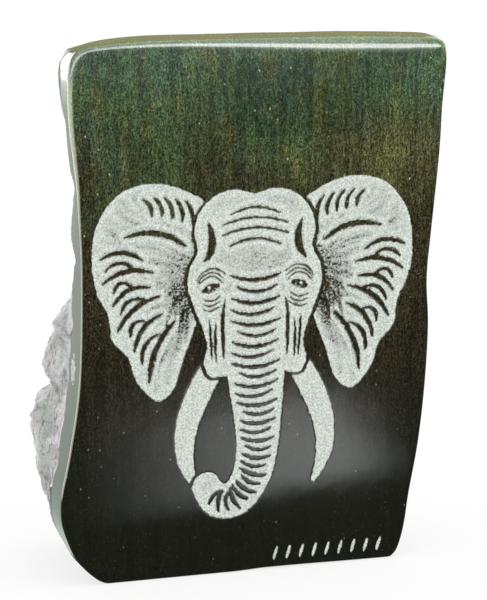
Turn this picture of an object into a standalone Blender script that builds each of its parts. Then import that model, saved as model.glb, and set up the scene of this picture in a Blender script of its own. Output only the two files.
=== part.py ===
"""A standing block of polished dark green stone with an elephant's head engraved in its face.

Metres, +Z up. The polished face looks towards -Y, the ground base lies at Z = 0, and the origin is at
the middle of the block's footprint. The top and a band round the face are polished, and behind the
band the sides and the back are rough, as the stone broke.
"""

import math

import bmesh
import bpy
import numpy as np
from mathutils import Vector, geometry, noise

# The block
STONE_HEIGHT = 0.14865
STONE_WIDTH = 0.1146
TOP_DEPTH = 0.026
BASE_DEPTH = 0.050
BACK_ROUNDING = 0.006

# The rounding between the face and the sides: how far it reaches into the face, and how far back. The
# top's grows from the left over this share of the width
SIDE_EDGE = (0.0006, 0.0006)
TOP_LEFT_EDGE = (0.0005, 0.0020)
TOP_RIGHT_EDGE = (0.0034, 0.0042)
TOP_EDGE_GROWTH = 0.72
BASE_EDGE = (0.0003, 0.0003)
# The base's edge is worn wider on the right of a chip: where the wear sets in, and where it fades out
WORN_EDGE = (0.0011, 0.0030)
CHIP_FROM = -0.002
CHIP_TO = 0.001
WORN_FROM = 0.008
WORN_TO = 0.044

# The rough sides and back
RIGHT_BAND_DEPTH = 0.009
REACH_RISE = 0.008
LEFT_FALL = 0.36
BACK_BULGE = 0.003
BACK_RELIEF = 0.0024
BACK_LUMP = 0.030
ROUGH_RELIEF = 0.0016
ROUGH_LUMP = 0.013
BACK_CROWN = 0.038
# Where the outline faces up or down, the stone is smooth all the way to the back, and where it faces
# sideways it turns rough behind its band: the sideways part of its outward direction at both ends
FLAT_UNTIL = 0.25
SIDE_FROM = 0.75
ROUGHNESS_RISE = 0.003
# How rough the left side still is where it turns far inward, and the reaches in between
INWARD_ROUGHNESS = 0.4
INWARD_FROM = -0.003
# The noise that makes the rough stone: how much less each finer layer adds, how much finer it is,
# how many layers there are, and the gain that brings it to about -1 to 1
NOISE_FADE = 0.9
NOISE_FINER = 2.1
NOISE_LAYERS = 3
NOISE_GAIN = 1.4
# The seed of the noise that shakes the back's points, so that each build gives the same back
SHAKE_SEED = 1795796823

# The engraving
ENGRAVING_DEPTH = 0.0004
PICTURE_MARGIN = 0.0108
PICTURE_FOOT = 0.0164
PICTURE_SHIFT = 0.0013
LINE_GAP = 0.0009
MARK_COUNT = 9
MARK_ROW_LENGTH = 0.031
MARK_HEIGHT = 0.0038
MARK_LEAN = 0.0012
MARK_WIDTH = 0.0008
MARK_FOOT = 0.0026
MARK_MARGIN = 0.0065

# The block's outline from the front, clockwise from the left end of the base:
# the way across as a share of STONE_WIDTH, and the way up as a share of STONE_HEIGHT
OUTLINE = (
    (-0.360, 0.0), (-0.384, 0.008), (-0.413, 0.027), (-0.442, 0.054), (-0.463, 0.092), (-0.474, 0.122),
    (-0.476, 0.151), (-0.472, 0.181), (-0.458, 0.230), (-0.445, 0.284), (-0.435, 0.330), (-0.427, 0.385),
    (-0.423, 0.440), (-0.421, 0.495), (-0.420, 0.550), (-0.420, 0.610), (-0.424, 0.680), (-0.428, 0.740),
    (-0.435, 0.790), (-0.442, 0.840), (-0.446, 0.895), (-0.444, 0.942), (-0.434, 0.970), (-0.408, 0.986),
    (-0.340, 0.994), (-0.220, 0.999), (-0.100, 1.0), (0.083, 0.999), (0.286, 0.997), (0.400, 0.994),
    (0.455, 0.992), (0.484, 0.988), (0.498, 0.981), (0.502, 0.966), (0.500, 0.930), (0.492, 0.865),
    (0.488, 0.800), (0.481, 0.735), (0.467, 0.630), (0.457, 0.542), (0.462, 0.453), (0.455, 0.339),
    (0.439, 0.226), (0.415, 0.125), (0.406, 0.077), (0.396, 0.041), (0.382, 0.013), (0.364, 0.0),
)
# The left side, by height as a share of STONE_HEIGHT: how far back the polish reaches, and how far
# the rough stone behind it stands out
LEFT_SIDE = (
    (0.000, 0.0020, -0.0030), (0.050, 0.0042, -0.0040), (0.096, 0.0088, -0.0035), (0.112, 0.0100, -0.0025),
    (0.145, 0.0102, -0.0014), (0.163, 0.0108, 0.0000), (0.191, 0.0110, 0.0024), (0.225, 0.0096, 0.0039),
    (0.251, 0.0112, 0.0053), (0.276, 0.0118, 0.0070), (0.316, 0.0110, 0.0068), (0.332, 0.0122, 0.0040),
    (0.352, 0.0112, 0.0014), (0.375, 0.0104, 0.0047), (0.410, 0.0122, 0.0052), (0.455, 0.0110, 0.0032),
    (0.478, 0.0084, 0.0034), (0.500, 0.0098, 0.0008), (0.514, 0.0102, -0.0030), (0.550, 0.0093, -0.0024),
    (0.600, 0.0058, -0.0035), (0.645, 0.0092, -0.0050), (0.675, 0.0082, -0.0050), (0.738, 0.0032, -0.0050),
    (0.765, 0.0066, -0.0050), (0.800, 0.0068, -0.0050), (0.850, 0.0058, -0.0050), (0.902, 0.0106, -0.0050),
    (0.940, 0.0126, -0.0050), (0.962, 0.0128, -0.0050), (0.984, 0.0100, -0.0050), (1.000, 0.0080, -0.0050),
)
# The right side's lean, by height as a share of STONE_HEIGHT: outward for each step back
RIGHT_SIDE = ((0.00, -0.16), (0.60, -0.16), (0.80, 0.08), (0.92, 0.26))

# The drawing of the head, in units of which the ears span DRAWING_SPAN. It is symmetrical but for
# the trunk, so only the right half is listed, from the crown down
DRAWING_SPAN = 93.0
DRAWING_DROP = 64.0
HEAD = (
    (0, 25.6), (5.5, 27.0), (11.2, 25.8), (15.6, 21.8), (17.4, 16.0), (16.6, 10.6), (18.9, 5.8),
    (19.3, 0.6), (17.3, -5.6), (14.9, -11.4), (13.9, -16.2), (14.9, -20.6), (13.0, -24.2), (9.4, -24.0),
)
SHEATH_LEVEL = -23.4
EAR = (
    (12.8, 21.0), (18.6, 26.6), (28.5, 29.6), (38.2, 27.4), (44.6, 19.8), (46.4, 10.0), (45.2, 1.2),
    (42.0, -5.6), (40.8, -12.6), (36.6, -17.4), (34.0, -24.4), (28.6, -29.8), (23.8, -27.0),
    (20.6, -18.0), (16.6, -7.0), (14.0, 6.0),
)
# Places along the middle of the trunk and of a tusk, each with the half width there
TRUNK = (
    (0, 8, 8.6), (0, -4, 8.8), (0, -14, 8.5), (0.2, -24, 8.2), (0.6, -34, 7.1), (0.6, -44, 6.1),
    (-1.0, -52.6, 5.5), (-5.4, -58.8, 5.0), (-11.2, -59.2, 4.6), (-14.8, -54.4, 3.9),
)
TUSK = ((12.4, -21.6, 3.2), (17.0, -30, 3.4), (20.2, -39, 3.0), (20.2, -48, 2.2), (17.0, -56.0, 0.5))
# The trunk's end is rounded: its length beyond the last row, as a share of its half width there
TRUNK_TIP = 0.75

# The eye, and the glint in it: how far up and to the right of the eye's middle, and its radius
EYE = (12.9, 0.35)
EYE_HALF_SIZE = (2.7, 1.3)
EYE_TILT = math.radians(-20)
GLINT_SHIFT = (0.4, 0.35)
GLINT_RADIUS = 0.4

# The dark lines. A line swells as this power of a sine from its pointed ends to its half width
LINE_SWELL = 0.7
# Wrinkles across the trunk: how far along it the first lies and the last may lie from its ends, the
# steps between them at its root and how much shorter they are at its tip, how far from its sides they
# end, how far they sag as a share of the half length, and in turn their shares of the way across
WRINKLE_START = 4.4
WRINKLE_STOP = 5.0
WRINKLE_STEP = 3.3
WRINKLE_STEP_LOSS = 1.3
WRINKLE_INSET = 1.5
WRINKLE_SAG = 0.22
WRINKLE_SPANS = ((0.0, 1.0), (0.08, 0.86), (0.03, 0.97), (0.14, 1.0))
WRINKLE_HALF_WIDTHS = (0.44, 0.34)
# Lines across the brow: the height and the half length of each
BROW_LINES = ((20.3, 7.0), (17.5, 9.4), (14.7, 9.4), (11.7, 7.2))
BROW_RISE = 1.9
BROW_HALF_WIDTH = 0.22
# Ribs that fan out over the ear from its root to its rim: the first and the last bearing in degrees,
# and in turn the shares of the way to the rim at which they start and end, and their half widths
EAR_ROOT = (16.0, 8.0)
RIB_BEARINGS = (-66, 4)
RIB_COUNT = 11
RIB_STARTS = (0.46, 0.62, 0.54, 0.68)
RIB_ENDS = (0.93, 0.88, 0.92, 0.86)
RIB_HALF_WIDTHS = (0.55, 0.36, 0.48, 0.34)
RIB_SAG = 1.9
# Short creases at the top of the ear: the upper end and the lower end of each
EAR_CREASES = (
    ((20.0, 24.6), (18.0, 18.0)), ((23.0, 25.3), (20.9, 19.2)), ((26.0, 25.8), (23.8, 20.2)),
    ((29.0, 25.9), (26.7, 20.8)), ((32.0, 25.6), (29.6, 21.0)),
)
CREASE_SAG = 0.8
CREASE_HALF_WIDTH = 0.32
# Single folds of the right half, each with its half width: the ear's root, the temple, three lines
# over the eye, three under it, the trunk's edge, and two in the cheek
EAR_FOLD = (0.6, ((20.2, 12.4), (25.0, 15.4), (31.0, 16.6), (37.0, 15.6)))
FACE_FOLDS = (
    (1.0, ((13.6, 18.6), (12.5, 14.4), (12.9, 10.4), (14.8, 7.6))),
    (0.24, ((9.3, 1.6), (11.8, 3.5), (14.6, 3.0), (16.6, 0.9))),
    (0.24, ((8.8, 2.7), (11.8, 4.65), (14.9, 3.9), (16.8, 1.6))),
    (0.24, ((8.3, 3.8), (11.8, 5.8), (15.2, 4.8), (17.0, 2.3))),
    (0.26, ((10.0, -1.9), (12.6, -3.2), (15.6, -2.6))),
    (0.26, ((9.8, -3.2), (12.6, -4.55), (15.4, -4.0))),
    (0.26, ((9.6, -4.5), (12.6, -5.9), (15.2, -5.4))),
    (0.5, ((8.7, -3.0), (9.5, -8.0), (9.4, -14.0), (9.2, -19.6))),
    (0.34, ((11.4, -9.2), (11.6, -14.0), (11.4, -20.4))),
    (0.34, ((13.3, -8.3), (12.95, -14.0), (12.6, -19.6))),
)

# How finely the block is cut into faces: degrees round its edges, shares of the way from the polish
# to the back, and the distance between the points over the back
FRONT_EDGE_ANGLES = (0, 30, 60, 90)
SIDE_SHARES = (0.12, 0.28, 0.46, 0.64, 0.82, 1.0)
BACK_EDGE_ANGLES = (35, 65, 90)
BASE_PIECES = 11
LEAST_BAND = 1.2
BACK_SPACING = 0.0085
ROW_SPACING = BACK_SPACING * 0.87
BACK_SHAKE = 0.25
SHAKE_FINER = 3.1
RIM_CLEARANCE = 0.6

# How finely curves are cut into straight pieces
OUTLINE_STEPS = 2
DRAWING_STEPS = 3
STROKE_STEPS = 4
LONG_STROKE_STEPS = 6
FOLD_STEPS = 2
TIP_STEPS = 5
TRUNK_SAMPLES = 10
RIM_SAMPLES = 12
EYE_SIDES = 12
GLINT_SIDES = 6

# The cutters: how far they stand proud of the face, how much thicker the one is that keeps the ears
# and tusks off the head, the share of its gap below which a widened loop's points fold over, and the
# distance at which two points are one
CUTTER_PROUD = 0.001
GUARD_THICKNESS = 3
FOLD_OVER = 0.97
WELD = 1e-6

# The finish
STONE_COLOUR = (0.030, 0.036, 0.022, 1)
STONE_ROUGHNESS = 0.12
SHARP_ANGLE = math.radians(32)


def remove_objects():
    for old in list(bpy.data.objects):
        bpy.data.objects.remove(old)


def new_collection(name):
    collection = bpy.data.collections.new(name)
    bpy.context.scene.collection.children.link(collection)
    return collection


def smooth_path(points, steps, closed=False):
    """A Catmull-Rom curve through the points, with the given number of steps from each to the next."""
    p = np.asarray(points, float)
    count = len(p)
    path = []
    for i in range(count if closed else count - 1):
        if closed:
            a, b, c, d = (p[(i + k) % count] for k in (-1, 0, 1, 2))
        else:
            a, b, c, d = (p[min(max(i + k, 0), count - 1)] for k in (-1, 0, 1, 2))
        for t in np.arange(steps) / steps:
            bend = (2 * a - 5 * b + 4 * c - d) * t**2 + (3 * b - a - 3 * c + d) * t**3
            path.append(0.5 * (2 * b + (c - a) * t + bend))
    if not closed:
        path.append(p[-1])
    return np.array(path)


def smoothstep(low, high, value):
    t = np.clip((value - low) / (high - low), 0, 1)
    return t * t * (3 - 2 * t)


def left_normals(path, closed=False):
    """Unit vectors that point to the left of the way the path runs."""
    if closed:
        along = np.roll(path, -1, axis=0) - np.roll(path, 1, axis=0)
    else:
        along = np.gradient(path, axis=0)
    along = along / np.linalg.norm(along, axis=1)[:, None]
    return np.stack([-along[:, 1], along[:, 0]], axis=1)


def distance_to(loop, point):
    """How far a point lies from a closed loop."""
    start, end = loop, np.roll(loop, -1, axis=0)
    along = end - start
    t = np.clip(((point - start) * along).sum(1) / (along**2).sum(1), 0, 1)
    return np.linalg.norm(start + along * t[:, None] - point, axis=1).min()


def is_inside(loop, point):
    """Whether a point lies inside a closed loop."""
    start, end = loop, np.roll(loop, -1, axis=0)
    level = (start[:, 1] > point[1]) != (end[:, 1] > point[1])
    start, end = start[level], end[level]
    crossings = start[:, 0] + (end[:, 0] - start[:, 0]) * (point[1] - start[:, 1]) / (end[:, 1] - start[:, 1])
    return np.count_nonzero(crossings > point[0]) % 2 == 1


# The block


def stone_outline():
    """The outline's points (x, z), clockwise from the front, and their outward normals."""
    upper = smooth_path(OUTLINE, OUTLINE_STEPS) * (STONE_WIDTH, STONE_HEIGHT)
    upper[:, 1] = np.clip(upper[:, 1], 0, STONE_HEIGHT)
    back_along_base = np.linspace(upper[-1], upper[0], BASE_PIECES + 1)[1:-1]
    outline = np.vstack([upper, back_along_base])
    return outline, left_normals(outline, closed=True)


def front_edge(outline, normals):
    """For each outline point, how far the front edge's rounding reaches into the face, and how far back."""
    up, down = (np.clip(way * normals[:, 1:], 0, 1) for way in (1, -1))
    growth = np.clip((outline[:, :1] / STONE_WIDTH + 0.5) / TOP_EDGE_GROWTH, 0, 1)
    wear = smoothstep(CHIP_FROM, CHIP_TO, outline[:, :1]) * smoothstep(WORN_TO, WORN_FROM, outline[:, :1])
    side, top_left, top_right, sound, worn = (
        np.array(edge) for edge in (SIDE_EDGE, TOP_LEFT_EDGE, TOP_RIGHT_EDGE, BASE_EDGE, WORN_EDGE)
    )
    top = top_left + (top_right - top_left) * growth
    base = sound + (worn - sound) * wear
    return (side + (top - side) * up + (base - side) * down).T


def lump_noise(point, size):
    """Smooth noise from about -1 to 1 that changes over the given length."""
    return noise.fractal(Vector(point) / size, NOISE_FADE, NOISE_FINER, NOISE_LAYERS) * NOISE_GAIN


def depths_at(flat):
    """How far behind the face the back lies, for places (x, z)."""
    up = np.clip(flat[:, 1] / STONE_HEIGHT, 0, 1)
    waves = [BACK_RELIEF * lump_noise((x, 0.5, z), BACK_LUMP) for x, z in flat]
    return BASE_DEPTH + (TOP_DEPTH - BASE_DEPTH) * up + np.array(waves)


def left_side(heights):
    """How far back the polish reaches down the left side, and the rough stone's reach, at these heights."""
    shares, bands, reaches = np.array(LEFT_SIDE).T
    return np.interp(heights / STONE_HEIGHT, shares, bands), np.interp(heights / STONE_HEIGHT, shares, reaches)


def section(flat, depths):
    """Where the outline's points (x, z) lie at these depths behind the face.

    Behind the polish the left side first swells or sinks by its reach and then falls away towards
    the back, and the right side leans all the way. The shift fades out towards the middle of the
    width, so that no section crosses itself.
    """
    band, reach = left_side(flat[:, 1])
    behind = np.maximum(depths - band, 0)
    left = reach * smoothstep(0, REACH_RISE, behind) - LEFT_FALL * np.maximum(behind - REACH_RISE, 0)
    heights, leans = np.array(RIGHT_SIDE).T
    right = np.interp(flat[:, 1] / STONE_HEIGHT, heights, leans) * np.maximum(depths - SIDE_EDGE[1], 0)
    shift = np.zeros(len(flat))
    for side, outward in ((-1, left), (1, right)):
        shift += side * outward * smoothstep(0, STONE_WIDTH / 2, side * flat[:, 0])
    return np.column_stack([flat[:, 0] + shift, depths, flat[:, 1]])


def polish_table(outline, normals):
    """For each outline point, how deep the smooth band is and how rough the stone is behind it."""
    is_left, is_right = (smoothstep(FLAT_UNTIL, SIDE_FROM, side * normals[:, 0]) for side in (-1, 1))
    left_band, reach = left_side(outline[:, 1])
    left_roughness = INWARD_ROUGHNESS + (1 - INWARD_ROUGHNESS) * smoothstep(INWARD_FROM, 0, reach)
    band = RIGHT_BAND_DEPTH + is_left * (left_band - RIGHT_BAND_DEPTH)
    return band, is_left * left_roughness + is_right


def roughened(points, directions, amounts):
    """The points pushed along their directions by noise, each by at most its own amount."""
    pushes = np.array([lump_noise(p, ROUGH_LUMP) * a if a else 0.0 for p, a in zip(points, amounts)])
    return points + directions * pushes[:, None]


def stone_rings():
    """Closed rings of points from the face's edge round the sides to the back's rim."""
    outline, normals = stone_outline()
    drop, run = front_edge(outline, normals)
    back = depths_at(outline) - BACK_ROUNDING
    band, roughness = polish_table(outline, normals)
    band = np.maximum(band, run * LEAST_BAND)
    sideways = np.column_stack([normals[:, 0], np.zeros(len(normals)), normals[:, 1]])

    rings = []
    for angle in np.radians(FRONT_EDGE_ANGLES):
        flat = outline - normals * (drop * (1 - math.sin(angle)))[:, None]
        depths = run * (1 - math.cos(angle))
        rings.append(np.column_stack([flat[:, 0], depths, np.maximum(flat[:, 1], 0)]))
    rings.append(section(outline, band))
    for share in SIDE_SHARES:
        depths = band + (back - band) * share
        amount = ROUGH_RELIEF * roughness * smoothstep(0, ROUGHNESS_RISE, depths - band)
        ring = roughened(section(outline, depths), sideways, amount)
        ring[:, 2] = np.maximum(ring[:, 2], 0)
        rings.append(ring)
    last_side = rings[-1]
    for angle in np.radians(BACK_EDGE_ANGLES):
        drawn_in = BACK_ROUNDING * (1 - math.cos(angle))
        ring = last_side * (1 - drawn_in / (STONE_WIDTH / 2), 1, 1 - drawn_in / STONE_HEIGHT)
        ring[:, 1] += BACK_ROUNDING * math.sin(angle)
        rings.append(ring)
    return rings


def back_points(rim):
    """Points over the back, in rows, each shaken a little, and clear of the rim."""
    low, high = rim.min(axis=0), rim.max(axis=0)
    columns = np.arange(low[0], high[0], BACK_SPACING)
    rows = np.arange(low[2], high[2], ROW_SPACING)
    loop = rim[:, (0, 2)]
    noise.seed_set(SHAKE_SEED)
    points = []
    for k, z in enumerate(rows):
        for x in columns + BACK_SPACING / 2 * (k % 2):
            shake = noise.noise_vector(Vector((x, 0, z)) / BACK_SPACING * SHAKE_FINER) * BACK_SPACING * BACK_SHAKE
            place = np.array((x + shake.x, z + shake.z))
            if is_inside(loop, place) and distance_to(loop, place) > BACK_SPACING * RIM_CLEARANCE:
                points.append(place)
    return np.array(points)


def back_skin(rim):
    """The back's inner points, and its triangles, which count the rim's points first."""
    inner = back_points(rim)
    flat = [Vector(p) for p in np.vstack([rim[:, (0, 2)], inner])]
    count = len(rim)
    edges = [(i, (i + 1) % count) for i in range(count)]
    triangles = geometry.delaunay_2d_cdt(flat, edges, [], 1, WELD)[2]
    crown = np.array([min(1.0, distance_to(rim[:, (0, 2)], p) / BACK_CROWN) for p in inner])
    depths = depths_at(inner) + BACK_BULGE * np.sqrt(crown)
    points = np.column_stack([inner[:, 0], depths, inner[:, 1]])
    away = np.broadcast_to((0.0, 1.0, 0.0), points.shape)
    return roughened(points, away, np.full(len(points), ROUGH_RELIEF)), triangles


def make_stone(collection):
    rings = stone_rings()
    around = len(rings[0])
    inner, triangles = back_skin(rings[-1])
    bm = bmesh.new()
    rows = [[bm.verts.new(p) for p in ring] for ring in rings]
    bm.faces.new(rows[0])
    for front, behind in zip(rows, rows[1:]):
        for i in range(around):
            j = (i + 1) % around
            bm.faces.new((front[i], behind[i], behind[j], front[j]))
    back = rows[-1] + [bm.verts.new(p) for p in inner]
    for triangle in triangles:
        bm.faces.new([back[i] for i in triangle])
    bmesh.ops.recalc_face_normals(bm, faces=bm.faces)
    mesh = bpy.data.meshes.new("engraved_stone")
    bm.to_mesh(mesh)
    bm.free()
    stone = bpy.data.objects.new("engraved_stone", mesh)
    collection.objects.link(stone)
    return stone


# The drawing, as closed loops in drawing units


def mirrored(path):
    return path * ((-1,) + (1,) * (path.shape[1] - 1))


def thick_path(rows, steps):
    """The two sides of a path whose rows give its middle and its half width: left of travel, right."""
    path = smooth_path(rows, steps)
    normals = left_normals(path[:, :2])
    return path, path[:, :2] + normals * path[:, 2:], path[:, :2] - normals * path[:, 2:]


def face_loop():
    """The head and trunk in one outline."""
    head = smooth_path(HEAD, DRAWING_STEPS)
    path, right_side, left_side = thick_path(TRUNK, DRAWING_STEPS)
    below = path[:, 1] < SHEATH_LEVEL
    tip = path[-1, :2]
    out_of_tip = (path[-1, :2] - path[-2, :2]) / np.linalg.norm(path[-1, :2] - path[-2, :2])
    across_tip = (right_side[-1] - tip) / path[-1, 2]
    cap = []
    for angle in np.linspace(0, math.pi, TIP_STEPS + 1)[1:-1]:
        way = math.cos(angle) * across_tip + TRUNK_TIP * math.sin(angle) * out_of_tip
        cap.append(tip + path[-1, 2] * way)
    return np.vstack([head, right_side[below], cap, left_side[below][::-1], mirrored(head)[::-1][:-1]])


def ear_loop():
    return smooth_path(EAR, DRAWING_STEPS, closed=True)


def tusk_loop():
    _, outer, inner = thick_path(TUSK, DRAWING_STEPS)
    return np.vstack([outer, inner[::-1]])


def stroke(points, half_width, steps=1):
    """A line that is thickest in the middle and runs out to a point at both ends."""
    path = smooth_path(points, steps)
    share = np.linspace(0, 1, len(path))
    widths = half_width * np.sin(math.pi * share) ** LINE_SWELL
    normals = left_normals(path)
    left = path + normals * widths[:, None]
    right = path - normals * widths[:, None]
    return np.vstack([left[:-1], path[-1:], right[1:-1][::-1]])


def bow(start, end, sag, steps=STROKE_STEPS):
    """Points from start to end along an arc that stands off its chord by sag, to the left of travel."""
    start, end = np.array(start, float), np.array(end, float)
    chord = end - start
    side = np.array([-chord[1], chord[0]]) / np.linalg.norm(chord)
    t = np.linspace(0, 1, steps + 1)[:, None]
    return start + chord * t + side * sag * 4 * t * (1 - t)


def trunk_wrinkles():
    """The wrinkles across the trunk, closer together towards its tip."""
    path, right_side, _ = thick_path(TRUNK, TRUNK_SAMPLES)
    lengths = np.linalg.norm(np.diff(path[:, :2], axis=0), axis=1)
    run = np.concatenate([[0], np.cumsum(lengths)])
    total = run[-1]
    strokes = []
    place = WRINKLE_START
    while place < total - WRINKLE_STOP:
        middle = np.array([np.interp(place, run, path[:, k]) for k in (0, 1)])
        half = np.interp(place, run, path[:, 2])
        edge = np.array([np.interp(place, run, right_side[:, k]) for k in (0, 1)])
        across = (edge - middle) / half * (half - WRINKLE_INSET)
        first, last = WRINKLE_SPANS[len(strokes) % len(WRINKLE_SPANS)]
        start, end = middle + across * (1 - 2 * first), middle + across * (1 - 2 * last)
        half_width = WRINKLE_HALF_WIDTHS[len(strokes) % len(WRINKLE_HALF_WIDTHS)]
        arc = bow(start, end, WRINKLE_SAG * (half - WRINKLE_INSET), LONG_STROKE_STEPS)
        strokes.append(stroke(arc, half_width))
        place += WRINKLE_STEP - WRINKLE_STEP_LOSS * place / total
    return strokes


def brow_strokes():
    return [
        stroke(bow((half, height), (-half, height), -BROW_RISE, LONG_STROKE_STEPS), BROW_HALF_WIDTH)
        for height, half in BROW_LINES
    ]


def ear_strokes():
    """The folds of the right ear: ribs that fan out to the rim, creases at the top, a fold at the root."""
    root = np.array(EAR_ROOT)
    rim = smooth_path(EAR, RIM_SAMPLES, closed=True) - root
    bearings = np.arctan2(rim[:, 1], rim[:, 0])
    lengths = np.linalg.norm(rim, axis=1)
    strokes = []
    for k, bearing in enumerate(np.radians(np.linspace(*RIB_BEARINGS, RIB_COUNT))):
        way = np.array((math.cos(bearing), math.sin(bearing)))
        to_rim = way * lengths[np.abs(bearings - bearing).argmin()]
        turn = k % len(RIB_STARTS)
        start, end = root + to_rim * RIB_STARTS[turn], root + to_rim * RIB_ENDS[turn]
        strokes.append(stroke(bow(start, end, RIB_SAG), RIB_HALF_WIDTHS[turn]))
    strokes += [stroke(bow(upper, lower, -CREASE_SAG), CREASE_HALF_WIDTH) for upper, lower in EAR_CREASES]
    strokes.append(stroke(EAR_FOLD[1], EAR_FOLD[0], FOLD_STEPS))
    return strokes


def face_strokes():
    """The folds of the face's right half."""
    return [stroke(path, half_width, FOLD_STEPS) for half_width, path in FACE_FOLDS]


def oval(centre, half_size, tilt, sides):
    turn = np.linspace(0, 2 * math.pi, sides, endpoint=False)
    flat = np.column_stack([np.cos(turn) * half_size[0], np.sin(turn) * half_size[1]])
    c, s = math.cos(tilt), math.sin(tilt)
    return flat @ np.array(((c, s), (-s, c))) + centre


def eye_loops():
    """The dark of the right eye and the glint in it."""
    glint = np.add(EYE, GLINT_SHIFT)
    return [
        oval(EYE, EYE_HALF_SIZE, EYE_TILT, EYE_SIDES),
        oval(glint, (GLINT_RADIUS, GLINT_RADIUS), 0, GLINT_SIDES),
    ]


def grown(loop, gap):
    """A loop pushed outward by the gap, less the points that would fold over in its hollows."""
    around = left_normals(loop, closed=True)
    area = 0.5 * np.sum(loop[:, 0] * np.roll(loop[:, 1], -1) - np.roll(loop[:, 0], -1) * loop[:, 1])
    outer = loop - around * gap * np.sign(area)
    return np.array([p for p in outer if distance_to(loop, p) > FOLD_OVER * gap])


# The cutters


def drawing_unit():
    return (STONE_WIDTH - 2 * PICTURE_MARGIN) / DRAWING_SPAN


def on_face(loop):
    """A drawing loop at its place on the face, as x and z."""
    unit = drawing_unit()
    return loop * unit + (PICTURE_SHIFT, PICTURE_FOOT + DRAWING_DROP * unit)


def mark_loops():
    """A row of plain slanted strokes low on the right of the face."""
    rows = np.array(OUTLINE)
    right_side = rows[rows[:, 1].argmax():][::-1] * (STONE_WIDTH, STONE_HEIGHT)
    middle = MARK_FOOT + MARK_HEIGHT / 2
    right_end = np.interp(middle, right_side[:, 1], right_side[:, 0]) - MARK_MARGIN
    loops = []
    for k in range(MARK_COUNT):
        x = right_end - MARK_ROW_LENGTH * (1 - k / (MARK_COUNT - 1))
        foot, head = (x - MARK_LEAN / 2, MARK_FOOT), (x + MARK_LEAN / 2, MARK_FOOT + MARK_HEIGHT)
        loops.append(stroke((foot, head), MARK_WIDTH / 2, STROKE_STEPS))
    return loops


def weld(mesh):
    """Makes one of points that all but coincide."""
    bm = bmesh.new()
    bm.from_mesh(mesh)
    bmesh.ops.remove_doubles(bm, verts=bm.verts, dist=WELD)
    bmesh.ops.recalc_face_normals(bm, faces=bm.faces)
    bm.to_mesh(mesh)
    bm.free()


def plate(name, loops, collection):
    """A flat plate with these loops as its outline and holes, from just before the face into it."""
    curve = bpy.data.curves.new(name, "CURVE")
    curve.dimensions = "2D"
    curve.fill_mode = "BOTH"
    curve.extrude = (CUTTER_PROUD + ENGRAVING_DEPTH) / 2
    for loop in loops:
        spline = curve.splines.new("POLY")
        spline.points.add(len(loop) - 1)
        spline.points.foreach_set("co", [c for x, z in loop for c in (x, z, 0, 1)])
        spline.use_cyclic_u = True
    drawn = bpy.data.objects.new(name + "_curve", curve)
    drawn.rotation_euler = (math.radians(90), 0, 0)
    drawn.location.y = (ENGRAVING_DEPTH - CUTTER_PROUD) / 2
    collection.objects.link(drawn)
    bpy.context.view_layer.update()
    evaluated = drawn.evaluated_get(bpy.context.evaluated_depsgraph_get())
    mesh = bpy.data.meshes.new_from_object(evaluated)
    mesh.transform(drawn.matrix_world)
    bpy.data.objects.remove(drawn)
    weld(mesh)
    cutter = bpy.data.objects.new(name, mesh)
    cutter.hide_render = True
    cutter.display_type = "WIRE"
    collection.objects.link(cutter)
    return cutter


def cut(target, cutter):
    """Takes the cutter out of the target for good."""
    modifier = target.modifiers.new(cutter.name, "BOOLEAN")
    modifier.operation = "DIFFERENCE"
    modifier.solver = "EXACT"
    modifier.object = cutter
    bpy.context.view_layer.update()
    evaluated = target.evaluated_get(bpy.context.evaluated_depsgraph_get())
    result = bpy.data.meshes.new_from_object(evaluated)
    weld(result)
    target.modifiers.clear()
    target.data = result


def joined(name, pieces, collection):
    """One object made of the pieces, which don't touch, in their place."""
    bm = bmesh.new()
    for piece in pieces:
        bm.from_mesh(piece.data)
        bpy.data.objects.remove(piece)
    mesh = bpy.data.meshes.new(name)
    bm.to_mesh(mesh)
    bm.free()
    whole = bpy.data.objects.new(name, mesh)
    whole.hide_render = True
    whole.display_type = "WIRE"
    collection.objects.link(whole)
    return whole


def make_cutter(collection):
    """Everything that the engraving takes out of the face."""
    face = face_loop()
    half = face_strokes() + eye_loops()
    lines = trunk_wrinkles() + brow_strokes() + half + [mirrored(loop) for loop in half]
    head = plate("head_cutter", [on_face(face)] + [on_face(loop) for loop in lines], collection)
    guard = plate("head_guard", [on_face(grown(face, LINE_GAP / drawing_unit()))], collection)
    guard.scale.y = GUARD_THICKNESS
    cutters = [head]
    right_ear = [ear_loop()] + ear_strokes()
    for side, turn in (("right", np.array), ("left", mirrored)):
        ear = plate(side + "_ear_cutter", [on_face(turn(loop)) for loop in right_ear], collection)
        tusk = plate(side + "_tusk_cutter", [on_face(turn(tusk_loop()))], collection)
        for cutter in (ear, tusk):
            cut(cutter, guard)
            cutters.append(cutter)
    cutters.append(plate("mark_cutter", mark_loops(), collection))
    return joined("engraving_cutter", cutters, collection)


def stone_material():
    material = bpy.data.materials.new("polished_green_stone")
    material.use_nodes = True
    shader = material.node_tree.nodes["Principled BSDF"]
    shader.inputs["Base Color"].default_value = STONE_COLOUR
    shader.inputs["Roughness"].default_value = STONE_ROUGHNESS
    shader.inputs["Metallic"].default_value = 0.0
    return material


def finish_shading(stone):
    stone.data.shade_smooth()
    stone.data.set_sharp_from_angle(angle=SHARP_ANGLE)
    stone.data.materials.clear()
    stone.data.materials.append(stone_material())


def centre_on_base(stone):
    corners = np.array([v.co for v in stone.data.vertices])
    middle = (corners.min(axis=0) + corners.max(axis=0)) / 2
    stone.location = (-middle[0], -middle[1], 0)


def main():
    remove_objects()
    parts = new_collection("engraved_stone_block")
    tools = new_collection("cutters")
    stone = make_stone(parts)
    cut(stone, make_cutter(tools))
    finish_shading(stone)
    centre_on_base(stone)


if __name__ == "__main__":
    main()
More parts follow.
